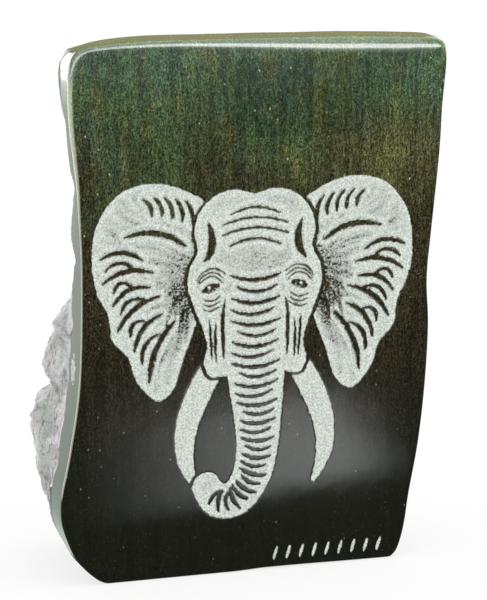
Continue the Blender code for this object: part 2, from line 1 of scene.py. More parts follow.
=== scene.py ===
"""The looks of a standing block of polished dark green stone with an elephant's head engraved in it.

The block is one piece. Its mesh follows the CAD block's outline, sections and drawing, more finely
cut, and adds the broken surface, the stippled frosting of the engraving and the wave of the polish.
Metres, +Z up, with the polished face towards -Y.
"""

import math

import bpy
import numpy as np
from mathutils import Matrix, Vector, geometry, noise


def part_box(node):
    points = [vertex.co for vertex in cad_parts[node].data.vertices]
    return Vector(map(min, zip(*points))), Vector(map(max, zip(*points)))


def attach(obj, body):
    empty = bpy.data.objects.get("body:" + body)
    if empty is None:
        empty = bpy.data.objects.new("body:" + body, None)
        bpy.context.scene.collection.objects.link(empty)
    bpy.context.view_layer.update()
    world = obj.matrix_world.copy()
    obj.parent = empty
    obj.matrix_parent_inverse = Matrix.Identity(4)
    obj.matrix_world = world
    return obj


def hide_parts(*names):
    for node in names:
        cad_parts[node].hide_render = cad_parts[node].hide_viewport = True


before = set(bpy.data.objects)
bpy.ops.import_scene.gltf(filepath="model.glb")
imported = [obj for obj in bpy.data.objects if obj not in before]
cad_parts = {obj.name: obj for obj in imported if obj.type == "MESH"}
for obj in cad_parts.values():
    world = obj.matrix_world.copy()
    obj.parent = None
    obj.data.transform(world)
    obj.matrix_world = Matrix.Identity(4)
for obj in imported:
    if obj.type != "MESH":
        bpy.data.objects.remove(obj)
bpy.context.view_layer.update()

# The block, as in the CAD model
STONE_HEIGHT = 0.14865
STONE_WIDTH = 0.1146
TOP_DEPTH = 0.026
BASE_DEPTH = 0.050
BACK_ROUNDING = 0.006

# The rounding between the face and the sides: how far it reaches into the face, and how far back. The
# top's grows from the left over this share of the width
SIDE_EDGE = (0.0006, 0.0006)
TOP_LEFT_EDGE = (0.0005, 0.0020)
TOP_RIGHT_EDGE = (0.0034, 0.0042)
TOP_EDGE_GROWTH = 0.72
BASE_EDGE = (0.0003, 0.0003)
# The base's edge is worn wider on the right of a chip: where the wear sets in, and where it fades out
WORN_EDGE = (0.0011, 0.0030)
CHIP_FROM = -0.002
CHIP_TO = 0.001
WORN_FROM = 0.008
WORN_TO = 0.044

# The rough sides and back
RIGHT_BAND_DEPTH = 0.009
REACH_RISE = 0.008
LEFT_FALL = 0.36
BACK_BULGE = 0.003
BACK_RELIEF = 0.0024
BACK_LUMP = 0.030
ROUGH_RELIEF = 0.0016
ROUGH_LUMP = 0.013
BACK_CROWN = 0.038
# Where the outline faces up or down, the stone is smooth all the way to the back, and where it faces
# sideways it turns rough behind its band: the sideways part of its outward direction at both ends
FLAT_UNTIL = 0.25
SIDE_FROM = 0.75
# How rough the left side still is where it turns far inward, and the reaches in between
INWARD_ROUGHNESS = 0.4
INWARD_FROM = -0.003
# How far up and down the rough stone's look wanders at these reaches, and over what length
LOOK_WANDER = 0.014
LOOK_WANDER_SIZE = 0.022
# The noise that makes the rough stone: how much less each finer layer adds, how much finer it is,
# how many layers there are, and the gain that brings it to about -1 to 1
NOISE_FADE = 0.9
NOISE_FINER = 2.1
NOISE_LAYERS = 3
NOISE_GAIN = 1.4
# The seed of the noise that shakes points and tilts facets, so that each run gives the same stone
SHAKE_SEED = 1795796823

# The engraving, as in the CAD model
PICTURE_MARGIN = 0.0108
PICTURE_FOOT = 0.0164
PICTURE_SHIFT = 0.0013
LINE_GAP = 0.0009
MARK_COUNT = 9
MARK_ROW_LENGTH = 0.031
MARK_HEIGHT = 0.0038
MARK_LEAN = 0.0012
MARK_WIDTH = 0.0008
MARK_FOOT = 0.0026
MARK_MARGIN = 0.0065

# The block's outline from the front, clockwise from the left end of the base:
# the way across as a share of STONE_WIDTH, and the way up as a share of STONE_HEIGHT
OUTLINE = (
    (-0.360, 0.0), (-0.384, 0.008), (-0.413, 0.027), (-0.442, 0.054), (-0.463, 0.092), (-0.474, 0.122),
    (-0.476, 0.151), (-0.472, 0.181), (-0.458, 0.230), (-0.445, 0.284), (-0.435, 0.330), (-0.427, 0.385),
    (-0.423, 0.440), (-0.421, 0.495), (-0.420, 0.550), (-0.420, 0.610), (-0.424, 0.680), (-0.428, 0.740),
    (-0.435, 0.790), (-0.442, 0.840), (-0.446, 0.895), (-0.444, 0.942), (-0.434, 0.970), (-0.408, 0.986),
    (-0.340, 0.994), (-0.220, 0.999), (-0.100, 1.0), (0.083, 0.999), (0.286, 0.997), (0.400, 0.994),
    (0.455, 0.992), (0.484, 0.988), (0.498, 0.981), (0.502, 0.966), (0.500, 0.930), (0.492, 0.865),
    (0.488, 0.800), (0.481, 0.735), (0.467, 0.630), (0.457, 0.542), (0.462, 0.453), (0.455, 0.339),
    (0.439, 0.226), (0.415, 0.125), (0.406, 0.077), (0.396, 0.041), (0.382, 0.013), (0.364, 0.0),
)
# The left side, by height as a share of STONE_HEIGHT: how far back the polish reaches, and how far
# the rough stone behind it stands out
LEFT_SIDE = (
    (0.000, 0.0020, -0.0030), (0.050, 0.0042, -0.0040), (0.096, 0.0088, -0.0035), (0.112, 0.0100, -0.0025),
    (0.145, 0.0102, -0.0014), (0.163, 0.0108, 0.0000), (0.191, 0.0110, 0.0024), (0.225, 0.0096, 0.0039),
    (0.251, 0.0112, 0.0053), (0.276, 0.0118, 0.0070), (0.316, 0.0110, 0.0068), (0.332, 0.0122, 0.0040),
    (0.352, 0.0112, 0.0014), (0.375, 0.0104, 0.0047), (0.410, 0.0122, 0.0052), (0.455, 0.0110, 0.0032),
    (0.478, 0.0084, 0.0034), (0.500, 0.0098, 0.0008), (0.514, 0.0102, -0.0030), (0.550, 0.0093, -0.0024),
    (0.600, 0.0058, -0.0035), (0.645, 0.0092, -0.0050), (0.675, 0.0082, -0.0050), (0.738, 0.0032, -0.0050),
    (0.765, 0.0066, -0.0050), (0.800, 0.0068, -0.0050), (0.850, 0.0058, -0.0050), (0.902, 0.0106, -0.0050),
    (0.940, 0.0126, -0.0050), (0.962, 0.0128, -0.0050), (0.984, 0.0100, -0.0050), (1.000, 0.0080, -0.0050),
)
# The right side's lean, by height as a share of STONE_HEIGHT: outward for each step back
RIGHT_SIDE = ((0.00, -0.16), (0.60, -0.16), (0.80, 0.08), (0.92, 0.26))

# The drawing of the head, in units of which the ears span DRAWING_SPAN. It is symmetrical but for
# the trunk, so only the right half is listed, from the crown down
DRAWING_SPAN = 93.0
DRAWING_DROP = 64.0
HEAD = (
    (0, 25.6), (5.5, 27.0), (11.2, 25.8), (15.6, 21.8), (17.4, 16.0), (16.6, 10.6), (18.9, 5.8),
    (19.3, 0.6), (17.3, -5.6), (14.9, -11.4), (13.9, -16.2), (14.9, -20.6), (13.0, -24.2), (9.4, -24.0),
)
SHEATH_LEVEL = -23.4
EAR = (
    (12.8, 21.0), (18.6, 26.6), (28.5, 29.6), (38.2, 27.4), (44.6, 19.8), (46.4, 10.0), (45.2, 1.2),
    (42.0, -5.6), (40.8, -12.6), (36.6, -17.4), (34.0, -24.4), (28.6, -29.8), (23.8, -27.0),
    (20.6, -18.0), (16.6, -7.0), (14.0, 6.0),
)
# Places along the middle of the trunk and of a tusk, each with the half width there
TRUNK = (
    (0, 8, 8.6), (0, -4, 8.8), (0, -14, 8.5), (0.2, -24, 8.2), (0.6, -34, 7.1), (0.6, -44, 6.1),
    (-1.0, -52.6, 5.5), (-5.4, -58.8, 5.0), (-11.2, -59.2, 4.6), (-14.8, -54.4, 3.9),
)
TUSK = ((12.4, -21.6, 3.2), (17.0, -30, 3.4), (20.2, -39, 3.0), (20.2, -48, 2.2), (17.0, -56.0, 0.5))
# The trunk's end is rounded: its length beyond the last row, as a share of its half width there
TRUNK_TIP = 0.75

# The eye, and the glint in it: how far up and to the right of the eye's middle, and its radius
EYE = (12.9, 0.35)
EYE_HALF_SIZE = (2.7, 1.3)
EYE_TILT = math.radians(-20)
GLINT_SHIFT = (0.4, 0.35)
GLINT_RADIUS = 0.4

# The dark lines. A line swells as this power of a sine from its pointed ends to its half width
LINE_SWELL = 0.7
# Wrinkles across the trunk: how far along it the first lies and the last may lie from its ends, the
# steps between them at its root and how much shorter they are at its tip, how far from its sides they
# end, how far they sag as a share of the half length, and in turn their shares of the way across
WRINKLE_START = 4.4
WRINKLE_STOP = 5.0
WRINKLE_STEP = 3.3
WRINKLE_STEP_LOSS = 1.3
WRINKLE_INSET = 1.5
WRINKLE_SAG = 0.22
WRINKLE_SPANS = ((0.0, 1.0), (0.08, 0.86), (0.03, 0.97), (0.14, 1.0))
WRINKLE_HALF_WIDTHS = (0.44, 0.34)
# Lines across the brow: the height and the half length of each
BROW_LINES = ((20.3, 7.0), (17.5, 9.4), (14.7, 9.4), (11.7, 7.2))
BROW_RISE = 1.9
BROW_HALF_WIDTH = 0.22
# Ribs that fan out over the ear from its root to its rim: the first and the last bearing in degrees,
# and in turn the shares of the way to the rim at which they start and end, and their half widths
EAR_ROOT = (16.0, 8.0)
RIB_BEARINGS = (-66, 4)
RIB_COUNT = 11
RIB_STARTS = (0.46, 0.62, 0.54, 0.68)
RIB_ENDS = (0.93, 0.88, 0.92, 0.86)
RIB_HALF_WIDTHS = (0.55, 0.36, 0.48, 0.34)
RIB_SAG = 1.9
# Short creases at the top of the ear: the upper end and the lower end of each
EAR_CREASES = (
    ((20.0, 24.6), (18.0, 18.0)), ((23.0, 25.3), (20.9, 19.2)), ((26.0, 25.8), (23.8, 20.2)),
    ((29.0, 25.9), (26.7, 20.8)), ((32.0, 25.6), (29.6, 21.0)),
)
CREASE_SAG = 0.8
CREASE_HALF_WIDTH = 0.32
# Single folds of the right half, each with its half width: the ear's root, the temple, three lines
# over the eye, three under it, the trunk's edge, and two in the cheek
EAR_FOLD = (0.6, ((20.2, 12.4), (25.0, 15.4), (31.0, 16.6), (37.0, 15.6)))
FACE_FOLDS = (
    (1.0, ((13.6, 18.6), (12.5, 14.4), (12.9, 10.4), (14.8, 7.6))),
    (0.24, ((9.3, 1.6), (11.8, 3.5), (14.6, 3.0), (16.6, 0.9))),
    (0.24, ((8.8, 2.7), (11.8, 4.65), (14.9, 3.9), (16.8, 1.6))),
    (0.24, ((8.3, 3.8), (11.8, 5.8), (15.2, 4.8), (17.0, 2.3))),
    (0.26, ((10.0, -1.9), (12.6, -3.2), (15.6, -2.6))),
    (0.26, ((9.8, -3.2), (12.6, -4.55), (15.4, -4.0))),
    (0.26, ((9.6, -4.5), (12.6, -5.9), (15.2, -5.4))),
    (0.5, ((8.7, -3.0), (9.5, -8.0), (9.4, -14.0), (9.2, -19.6))),
    (0.34, ((11.4, -9.2), (11.6, -14.0), (11.4, -20.4))),
    (0.34, ((13.3, -8.3), (12.95, -14.0), (12.6, -19.6))),
)

# How finely the block is cut here, in metres between points, or in rings
SIDE_SPACING = 0.00062
FAR_SPACING = 0.0011
FACE_RIM = 0.0006
FRONT_EDGE_RINGS = 13
BAND_RINGS = 14
ROUGH_RINGS = 34
BACK_EDGE_RINGS = 8
LEAST_BAND = 1.2
BACK_SPACING = 0.0015
# The face's points lie on a lattice of this spacing, whole where the tone changes by this much from
# point to point, in this finer step near there and where there is frost, and else in the coarser one
LATTICE = 0.00027
EDGE_SLOPE = 0.25
NEAR_STEPS = 4
FINE_STEP = 2
COARSE_STEP = 8
FROSTED_FROM = 0.02
# How far the face's and the back's points keep from the rim, and how far the back's are shaken: all but
# the first as shares of BACK_SPACING. And how many times finer than it the shaking noise is
RIM_GAP = 0.0005
BACK_RIM_GAP = 0.6
BACK_SHAKE = 0.2
SHAKE_FINER = 3.1
# How many pieces the curves are cut into, and how many places along a curve are tried out
OUTLINE_STEPS = 12
BASE_PIECES = 60
DRAWING_STEPS = 8
STROKE_STEPS = 10
FOLD_STEPS = 4
TIP_STEPS = 11
TRUNK_SAMPLES = 10
RIM_SAMPLES = 12

# The last stretch over which the mesh is drawn in to the CAD's box
LIMIT_SOFT = 0.0005

# The surface's map: where the left side, the other sides, the face and the back lie in it, and how
# large. The face's and the back's size is that of STONE_HEIGHT, and the back's width is squeezed
MAP_LEFT = (0.69, 0.46, 0.30, 0.40)
MAP_SIDES = (0.01, 0.875, 0.98, 0.12)
MAP_FACE = (0.01, 0.01, 0.849)
MAP_BACK = (0.99, 0.01, 0.43)
MAP_BACK_SQUEEZE = 0.85
MAP_LEFT_UNTIL = 0.975

# Finer than the CAD model: the left side is high between these shares of STONE_HEIGHT. There the face's
# rounding reaches this much further into the face and further back, and the band curves in by the
# roll, which sets in at this share of its depth and grows by this power
HIGH = (0.60, 0.90)
HIGH_LEFT_DROP = 0.0010
HIGH_LEFT_RUN = 0.0014
BAND_ROLL = 0.0005
BAND_ROLL_FROM = 0.62
BAND_ROLL_GROWTH = 1.4
# Along the top the rounding reaches this much further down the face, more and more towards the right,
# and no further between these places short of the right end. It counts where the outline faces up
TOP_DROP = 0.0007
TOP_DROP_ENDS = (0.054, 0.040)
TOP_FACES_UP = (0.5, 0.9)
# The rounding changes softly, over this many outline points to both sides
EDGE_BLEND = 3
# The band ends raggedly: how far its end wanders, over what length, and how much longer upright
BAND_END_WANDER = 0.0009
BAND_END_SIZE = 0.004
BAND_END_STRETCH = 0.35
# How far behind the band's end the stone looks broken all over, and lies as deep and high as it gets
BROKEN_LOOK_RISE = 0.0006
BROKEN_PUSH_RISE = 0.0015
# The chips of the broken stone and the smaller ones on them, each with its size and height, the grit
# on both, and how high all of it stands from its hollows to its tips
CHIPS = ((0.0062, 0.0011), (0.0024, 0.0005))
GRIT_SIZE = 0.0008
GRIT_HEIGHT = 0.00018
CHIP_SPAN = 0.0016
BACK_BROKEN_RISE = 0.004

# The engraving's frost lies this deep where it is at least half white, and its lines waver by this
# much over this length
FROST_DEPTH = 0.00028
FROST_DEEP_FROM = 0.05
FROST_DEEP_TO = 0.6
HAND_SHAKE = 0.00022
HAND_SPACING = 0.0011

# How densely the drawing is frosted: 0 is bare polish and 1 is solid white. An area is its own tone
# and turns white over this depth from its outline, in drawing units
EAR_TONE = 0.60
EAR_RIM = 1.3
FACE_TONE = 0.58
FACE_RIM_DEPTH = 1.2
TUSK_TONE = 0.78
TUSK_RIM = 1.0
# The ear is darker in its hollow, by this much at this place and over this reach, and has rays from its
# root: how much they change the tone, and how many there would be all round, coarse and fine
EAR_HOLLOW = 0.46
EAR_HOLLOW_PLACE = (20.0, -4.0)
EAR_HOLLOW_REACH = (6.5, 13.0)
EAR_RAYS = 0.18
RAY_COUNTS = (41, 17)
RAY_WAVE = (1.6, 0.35)
RAY_TURN = 0.2
# The face is paler on the brow, on the cheeks and low down, and darker in a line inside its rim: how
# much, and for the first, second and last where and how wide
BROW_PALE = (0.16, 20.0, 60.0)
CHEEK_PALE = (0.12, 15.0, 3.0)
LOW_PALE = (0.12, 2.0, -12.0)
RIM_DARK = (0.16, 2.8, 1.3)
TUSK_GRAIN = (0.10, 5.1, 0.4)
# How softly areas end, and the bare gap between two that touch
AREA_SOFT = 0.2
AREA_GAP = 0.01
# A fold's pale ridge: how far beside it, how wide, and how much of what is missing to white it adds
RIDGE_PLACE = 1.1
RIDGE_WIDTH = 0.5
RIDGE_SHARE = 0.75
RIDGE_ON = 0.3
FOLD_REACH = 3.0
FOLD_ENDS = (-0.05, 0.42)
# How much wider than its groove a fold is dark: in the ear, in the face, on the trunk and the brow
EAR_BOLDER = 0.18
FACE_BOLDER = -0.05
TRUNK_BOLDER = 0.16
# The eye's outline and its iris: the iris's middle, radius, half width at both ends of its fade, tone
# and height, and how softly the eye and its glint end
EYE_SQUARE = 1.8
EYE_SOFT = 0.15
IRIS_SHIFT = -0.1
IRIS_RADIUS = 1.0
IRIS_FADE = (0.3, 0.1)
IRIS_TONE = 0.30
IRIS_INSIDE = 0.05
IRIS_TOP = 0.2
GLINT_SOFT = 0.1
MARK_SOFT = 0.0001
MARK_REACH = 0.001


def smooth_path(points, steps, closed=False):
    """A Catmull-Rom curve through the points, with the given number of steps from each to the next."""
    p = np.asarray(points, float)
    count = len(p)
    path = []
    for i in range(count if closed else count - 1):
        if closed:
            a, b, c, d = (p[(i + k) % count] for k in (-1, 0, 1, 2))
        else:
            a, b, c, d = (p[min(max(i + k, 0), count - 1)] for k in (-1, 0, 1, 2))
        for t in np.arange(steps) / steps:
            bend = (2 * a - 5 * b + 4 * c - d) * t**2 + (3 * b - a - 3 * c + d) * t**3
            path.append(0.5 * (2 * b + (c - a) * t + bend))
    if not closed:
        path.append(p[-1])
    return np.array(path)


def smoothstep(low, high, value):
    t = np.clip((value - low) / (high - low), 0, 1)
    return t * t * (3 - 2 * t)


def left_normals(path, closed=False):
    """Unit vectors that point to the left of the way the path runs."""
    if closed:
        along = np.roll(path, -1, axis=0) - np.roll(path, 1, axis=0)
    else:
        along = np.gradient(path, axis=0)
    along = along / np.linalg.norm(along, axis=1)[:, None]
    return np.stack([-along[:, 1], along[:, 0]], axis=1)


def distances(points, loop):
    """How far each point lies from a closed loop."""
    best = np.full(len(points), np.inf)
    for start, end in zip(loop, np.roll(loop, -1, axis=0)):
        along = end - start
        t = np.clip((points - start) @ along / max(along @ along, 1e-18), 0, 1)
        gap = points - start - t[:, None] * along
        np.minimum(best, (gap**2).sum(1), out=best)
    return np.sqrt(best)


def inside(points, loop):
    """Whether each point lies inside a closed loop."""
    x, y = points.T
    odd = np.zeros(len(points), bool)
    for (ax, ay), (bx, by) in zip(loop, np.roll(loop, -1, axis=0)):
        if ay != by:
            level = (ay > y) != (by > y)
            odd ^= level & (x < (bx - ax) * (y - ay) / (by - ay) + ax)
    return odd


def depth_inside(points, loop, reach):
    """How far inside the loop each point lies, negative outside, and no less than minus reach."""
    result = np.full(len(points), -float(reach))
    low, high = loop.min(axis=0) - reach, loop.max(axis=0) + reach
    near = ((points > low) & (points < high)).all(axis=1)
    close = points[near]
    gaps = distances(close, loop)
    result[near] = np.maximum(np.where(inside(close, loop), gaps, -gaps), -reach)
    return result


# The drawing, in drawing units


def mirrored(path):
    return path * ((-1,) + (1,) * (path.shape[1] - 1))


def thick_path(rows, steps):
    """The two sides of a path whose rows give its middle and its half width: left of travel, right."""
    path = smooth_path(rows, steps)
    normals = left_normals(path[:, :2])
    return path, path[:, :2] + normals * path[:, 2:], path[:, :2] - normals * path[:, 2:]


def face_loop():
    """The head and trunk in one outline."""
    head = smooth_path(HEAD, DRAWING_STEPS)
    path, right_side, left_side = thick_path(TRUNK, DRAWING_STEPS)
    below = path[:, 1] < SHEATH_LEVEL
    tip = path[-1, :2]
    out_of_tip = (path[-1, :2] - path[-2, :2]) / np.linalg.norm(path[-1, :2] - path[-2, :2])
    across_tip = (right_side[-1] - tip) / path[-1, 2]
    cap = []
    for angle in np.linspace(0, math.pi, TIP_STEPS + 1)[1:-1]:
        way = math.cos(angle) * across_tip + TRUNK_TIP * math.sin(angle) * out_of_tip
        cap.append(tip + path[-1, 2] * way)
    return np.vstack([head, right_side[below], cap, left_side[below][::-1], mirrored(head)[::-1][:-1]])


def ear_loop():
    return smooth_path(EAR, DRAWING_STEPS, closed=True)


def tusk_loop():
    _, outer, inner = thick_path(TUSK, DRAWING_STEPS)
    return np.vstack([outer, inner[::-1]])


def stroke(points, half_width, steps=1):
    """A line that is thickest in the middle and runs out to a point at both ends."""
    path = smooth_path(points, steps)
    share = np.linspace(0, 1, len(path))
    widths = half_width * np.sin(math.pi * share) ** LINE_SWELL
    normals = left_normals(path)
    left = path + normals * widths[:, None]
    right = path - normals * widths[:, None]
    return np.vstack([left[:-1], path[-1:], right[1:-1][::-1]])


def bow(start, end, sag, steps=STROKE_STEPS):
    """Points from start to end along an arc that stands off its chord by sag, to the left of travel."""
    start, end = np.array(start, float), np.array(end, float)
    chord = end - start
    side = np.array([-chord[1], chord[0]]) / np.linalg.norm(chord)
    t = np.linspace(0, 1, steps + 1)[:, None]
    return start + chord * t + side * sag * 4 * t * (1 - t)


def trunk_wrinkles():
    """The wrinkles across the trunk, closer together towards its tip."""
    path, right_side, _ = thick_path(TRUNK, TRUNK_SAMPLES)
    lengths = np.linalg.norm(np.diff(path[:, :2], axis=0), axis=1)
    run = np.concatenate([[0], np.cumsum(lengths)])
    total = run[-1]
    strokes = []
    place = WRINKLE_START
    while place < total - WRINKLE_STOP:
        middle = np.array([np.interp(place, run, path[:, k]) for k in (0, 1)])
        half = np.interp(place, run, path[:, 2])
        edge = np.array([np.interp(place, run, right_side[:, k]) for k in (0, 1)])
        across = (edge - middle) / half * (half - WRINKLE_INSET)
        first, last = WRINKLE_SPANS[len(strokes) % len(WRINKLE_SPANS)]
        start, end = middle + across * (1 - 2 * first), middle + across * (1 - 2 * last)
        half_width = WRINKLE_HALF_WIDTHS[len(strokes) % len(WRINKLE_HALF_WIDTHS)]
        arc = bow(start, end, WRINKLE_SAG * (half - WRINKLE_INSET), STROKE_STEPS)
        strokes.append(stroke(arc, half_width))
        place += WRINKLE_STEP - WRINKLE_STEP_LOSS * place / total
    return strokes


def brow_strokes():
    return [
        stroke(bow((half, height), (-half, height), -BROW_RISE, STROKE_STEPS), BROW_HALF_WIDTH)
        for height, half in BROW_LINES
    ]


def ear_strokes():
    """The folds of the right ear: ribs that fan out to the rim, creases at the top, a fold at the root."""
    root = np.array(EAR_ROOT)
    rim = smooth_path(EAR, RIM_SAMPLES, closed=True) - root
    bearings = np.arctan2(rim[:, 1], rim[:, 0])
    lengths = np.linalg.norm(rim, axis=1)
    strokes = []
    for k, bearing in enumerate(np.radians(np.linspace(*RIB_BEARINGS, RIB_COUNT))):
        way = np.array((math.cos(bearing), math.sin(bearing)))
        to_rim = way * lengths[np.abs(bearings - bearing).argmin()]
        turn = k % len(RIB_STARTS)
        start, end = root + to_rim * RIB_STARTS[turn], root + to_rim * RIB_ENDS[turn]
        strokes.append(stroke(bow(start, end, RIB_SAG), RIB_HALF_WIDTHS[turn]))
    strokes += [stroke(bow(upper, lower, -CREASE_SAG), CREASE_HALF_WIDTH) for upper, lower in EAR_CREASES]
    strokes.append(stroke(EAR_FOLD[1], EAR_FOLD[0], FOLD_STEPS))
    return strokes


def face_strokes():
    """The folds of the face's right half."""
    return [stroke(path, half_width, FOLD_STEPS) for half_width, path in FACE_FOLDS]


def drawing_unit():
    return (STONE_WIDTH - 2 * PICTURE_MARGIN) / DRAWING_SPAN


def off_face(places):
    """The drawing coordinates of places on the face."""
    unit = drawing_unit()
    return (places - (PICTURE_SHIFT, PICTURE_FOOT + DRAWING_DROP * unit)) / unit


def mark_loops():
    """A row of plain slanted strokes low on the right of the face."""
    rows = np.array(OUTLINE)
    right_side = rows[rows[:, 1].argmax():][::-1] * (STONE_WIDTH, STONE_HEIGHT)
    middle = MARK_FOOT + MARK_HEIGHT / 2
    right_end = np.interp(middle, right_side[:, 1], right_side[:, 0]) - MARK_MARGIN
    loops = []
    for k in range(MARK_COUNT):
        x = right_end - MARK_ROW_LENGTH * (1 - k / (MARK_COUNT - 1))
        foot, head = (x - MARK_LEAN / 2, MARK_FOOT), (x + MARK_LEAN / 2, MARK_FOOT + MARK_HEIGHT)
        loops.append(stroke((foot, head), MARK_WIDTH / 2, STROKE_STEPS))
    return loops


# The frosting's tones at points in drawing units


def paler_rim(tone, depth, width):
    return tone + (1 - tone) * np.exp(-np.maximum(depth, 0) / width)


def shade_ear(u, v, depth):
    """An ear's tone, for the ways across and up in the right half, and the depth inside its outline."""
    away, up = u - EAR_ROOT[0], v - EAR_ROOT[1]
    bearing, reach = np.arctan2(up, away), np.hypot(away, up)
    rays = np.sin(bearing * RAY_COUNTS[0] + RAY_WAVE[0] * np.sin(reach * RAY_WAVE[1]))
    rays *= np.sin(bearing * RAY_COUNTS[1] + reach * RAY_TURN)
    (x, z), (wide, high) = EAR_HOLLOW_PLACE, EAR_HOLLOW_REACH
    hollow = np.exp(-((u - x) / wide) ** 2 - ((v - z) / high) ** 2)
    return paler_rim(EAR_TONE - EAR_HOLLOW * hollow + EAR_RAYS * rays, depth, EAR_RIM)


def shade_face(u, v, depth):
    brow = BROW_PALE[0] * np.exp(-((v - BROW_PALE[1]) ** 2) / BROW_PALE[2])
    cheek = CHEEK_PALE[0] * np.exp(-(((u - CHEEK_PALE[1]) / CHEEK_PALE[2]) ** 2))
    low = LOW_PALE[0] * smoothstep(LOW_PALE[1], LOW_PALE[2], v)
    rim = RIM_DARK[0] * np.exp(-(((depth - RIM_DARK[1]) / RIM_DARK[2]) ** 2))
    return paler_rim(FACE_TONE + brow + cheek + low - rim, depth, FACE_RIM_DEPTH)


def shade_tusk(u, v, depth):
    share, across, up = TUSK_GRAIN
    return paler_rim(TUSK_TONE + share * np.sin(u * across + v * up), depth, TUSK_RIM)


def lay(tones, points, loop, shade, gap):
    """Paints a loop over what is there, with a bare line of the gap's width around it."""
    depth = depth_inside(points, loop, gap + 3 * AREA_SOFT)
    tones *= smoothstep(gap, gap + 2 * AREA_SOFT, -depth) + (depth > 0)
    cover = smoothstep(-AREA_SOFT, AREA_SOFT, depth)
    tones += (shade(np.abs(points[:, 0]), points[:, 1], depth) - tones) * cover


def fold(tones, points, loop, bolder):
    """A dark line, wider than its groove by what bolder says, with a pale ridge on both sides."""
    depth = depth_inside(points, loop, FOLD_REACH) + bolder
    ridge = np.exp(-(((depth + RIDGE_PLACE) / RIDGE_WIDTH) ** 2)) * (tones > RIDGE_ON)
    tones += (1 - tones) * RIDGE_SHARE * ridge
    tones *= smoothstep(*FOLD_ENDS, -depth)


def eye_tones(tones, points):
    """Both eyes: dark, with a faint ring for the iris and a white glint."""
    for side in (-1, 1):
        away = (points - np.array(EYE) * (side, 1)) * (side, 1)
        c, s = math.cos(EYE_TILT), math.sin(EYE_TILT)
        x, y = away[:, 0] * c + away[:, 1] * s, away[:, 1] * c - away[:, 0] * s
        almond = 1 - sum(np.abs(way / half) ** EYE_SQUARE for way, half in zip((x, y), EYE_HALF_SIZE))
        tones *= 1 - smoothstep(-EYE_SOFT, EYE_SOFT, almond)
        ring = smoothstep(*IRIS_FADE, np.abs(np.hypot(x - IRIS_SHIFT, y - IRIS_SHIFT) - IRIS_RADIUS))
        np.maximum(tones, IRIS_TONE * ring * (almond > IRIS_INSIDE) * (y < IRIS_TOP), out=tones)
        glint = np.hypot(x - GLINT_SHIFT[0], y - GLINT_SHIFT[1])
        shine = smoothstep(GLINT_RADIUS + GLINT_SOFT, GLINT_RADIUS - GLINT_SOFT, glint)
        np.maximum(tones, shine, out=tones)


def frost_tones(places):
    """The frosting at places (x, z) on the face."""
    shakes = np.array([noise.noise_vector(Vector((x, 0, z)) / HAND_SPACING).xz for x, z in places])
    points = off_face(places + HAND_SHAKE * shakes)
    tones = np.zeros(len(points))
    gap = LINE_GAP / drawing_unit()
    for turn in (np.array, mirrored):
        lay(tones, points, turn(ear_loop()), shade_ear, AREA_GAP)
        lay(tones, points, turn(tusk_loop()), shade_tusk, AREA_GAP)
    lay(tones, points, face_loop(), shade_face, gap)
    for loops, bolder in ((ear_strokes(), EAR_BOLDER), (face_strokes(), FACE_BOLDER)):
        for loop in loops + [mirrored(loop) for loop in loops]:
            fold(tones, points, loop, bolder)
    for loop in trunk_wrinkles() + brow_strokes():
        fold(tones, points, loop, TRUNK_BOLDER)
    eye_tones(tones, points)
    for loop in mark_loops():
        depth = depth_inside(places, loop, MARK_REACH)
        np.maximum(tones, smoothstep(-MARK_SOFT, MARK_SOFT, depth), out=tones)
    return tones


# The block's mesh


def stone_outline():
    """The outline's points (x, z), clockwise from the front, close together down the rough left side."""
    upper = smooth_path(OUTLINE, OUTLINE_STEPS) * (STONE_WIDTH, STONE_HEIGHT)
    upper[:, 1] = np.clip(upper[:, 1], 0, STONE_HEIGHT)
    base = np.linspace(upper[-1], upper[0], BASE_PIECES)[1:]
    loop = np.vstack([upper, base])
    steps = np.linalg.norm(np.diff(loop, axis=0), axis=1)
    is_left = smoothstep(0, -0.2 * STONE_WIDTH, loop[1:, 0]) * (steps > 0)
    spacing = FAR_SPACING + (SIDE_SPACING - FAR_SPACING) * is_left
    run = np.concatenate([[0], np.cumsum(steps / spacing)])
    places = np.arange(int(run[-1])) * run[-1] / int(run[-1])
    outline = np.column_stack([np.interp(places, run, loop[:, k]) for k in (0, 1)])
    return outline, left_normals(outline, closed=True)


def top_growth(across):
    """How far the top's rounding has grown from the left, from 0 to 1."""
    return np.clip((across / STONE_WIDTH + 0.5) / TOP_EDGE_GROWTH, 0, 1)


def cad_front_edge(outline, normals):
    """For each outline point, how far the CAD's rounding reaches into the face, and how far back."""
    up, down = (np.clip(way * normals[:, 1:], 0, 1) for way in (1, -1))
    growth = top_growth(outline[:, :1])
    wear = smoothstep(CHIP_FROM, CHIP_TO, outline[:, :1]) * smoothstep(WORN_TO, WORN_FROM, outline[:, :1])
    side, top_left, top_right, sound, worn = (
        np.array(edge) for edge in (SIDE_EDGE, TOP_LEFT_EDGE, TOP_RIGHT_EDGE, BASE_EDGE, WORN_EDGE)
    )
    top = top_left + (top_right - top_left) * growth
    base = sound + (worn - sound) * wear
    return (side + (top - side) * up + (base - side) * down).T


def front_edge(outline, normals, high_left):
    """The same as it is here: wider high on the left and along the top, and without jumps."""
    drop, run = cad_front_edge(outline, normals)
    along_top = smoothstep(*TOP_FACES_UP, normals[:, 1]) * smoothstep(*TOP_DROP_ENDS, outline[:, 0])
    drop = drop + HIGH_LEFT_DROP * high_left + TOP_DROP * np.sqrt(top_growth(outline[:, 0])) * along_top
    run = run + HIGH_LEFT_RUN * high_left
    around = range(-EDGE_BLEND, EDGE_BLEND + 1)
    return [np.mean([np.roll(values, k) for k in around], axis=0) for values in (drop, run)]


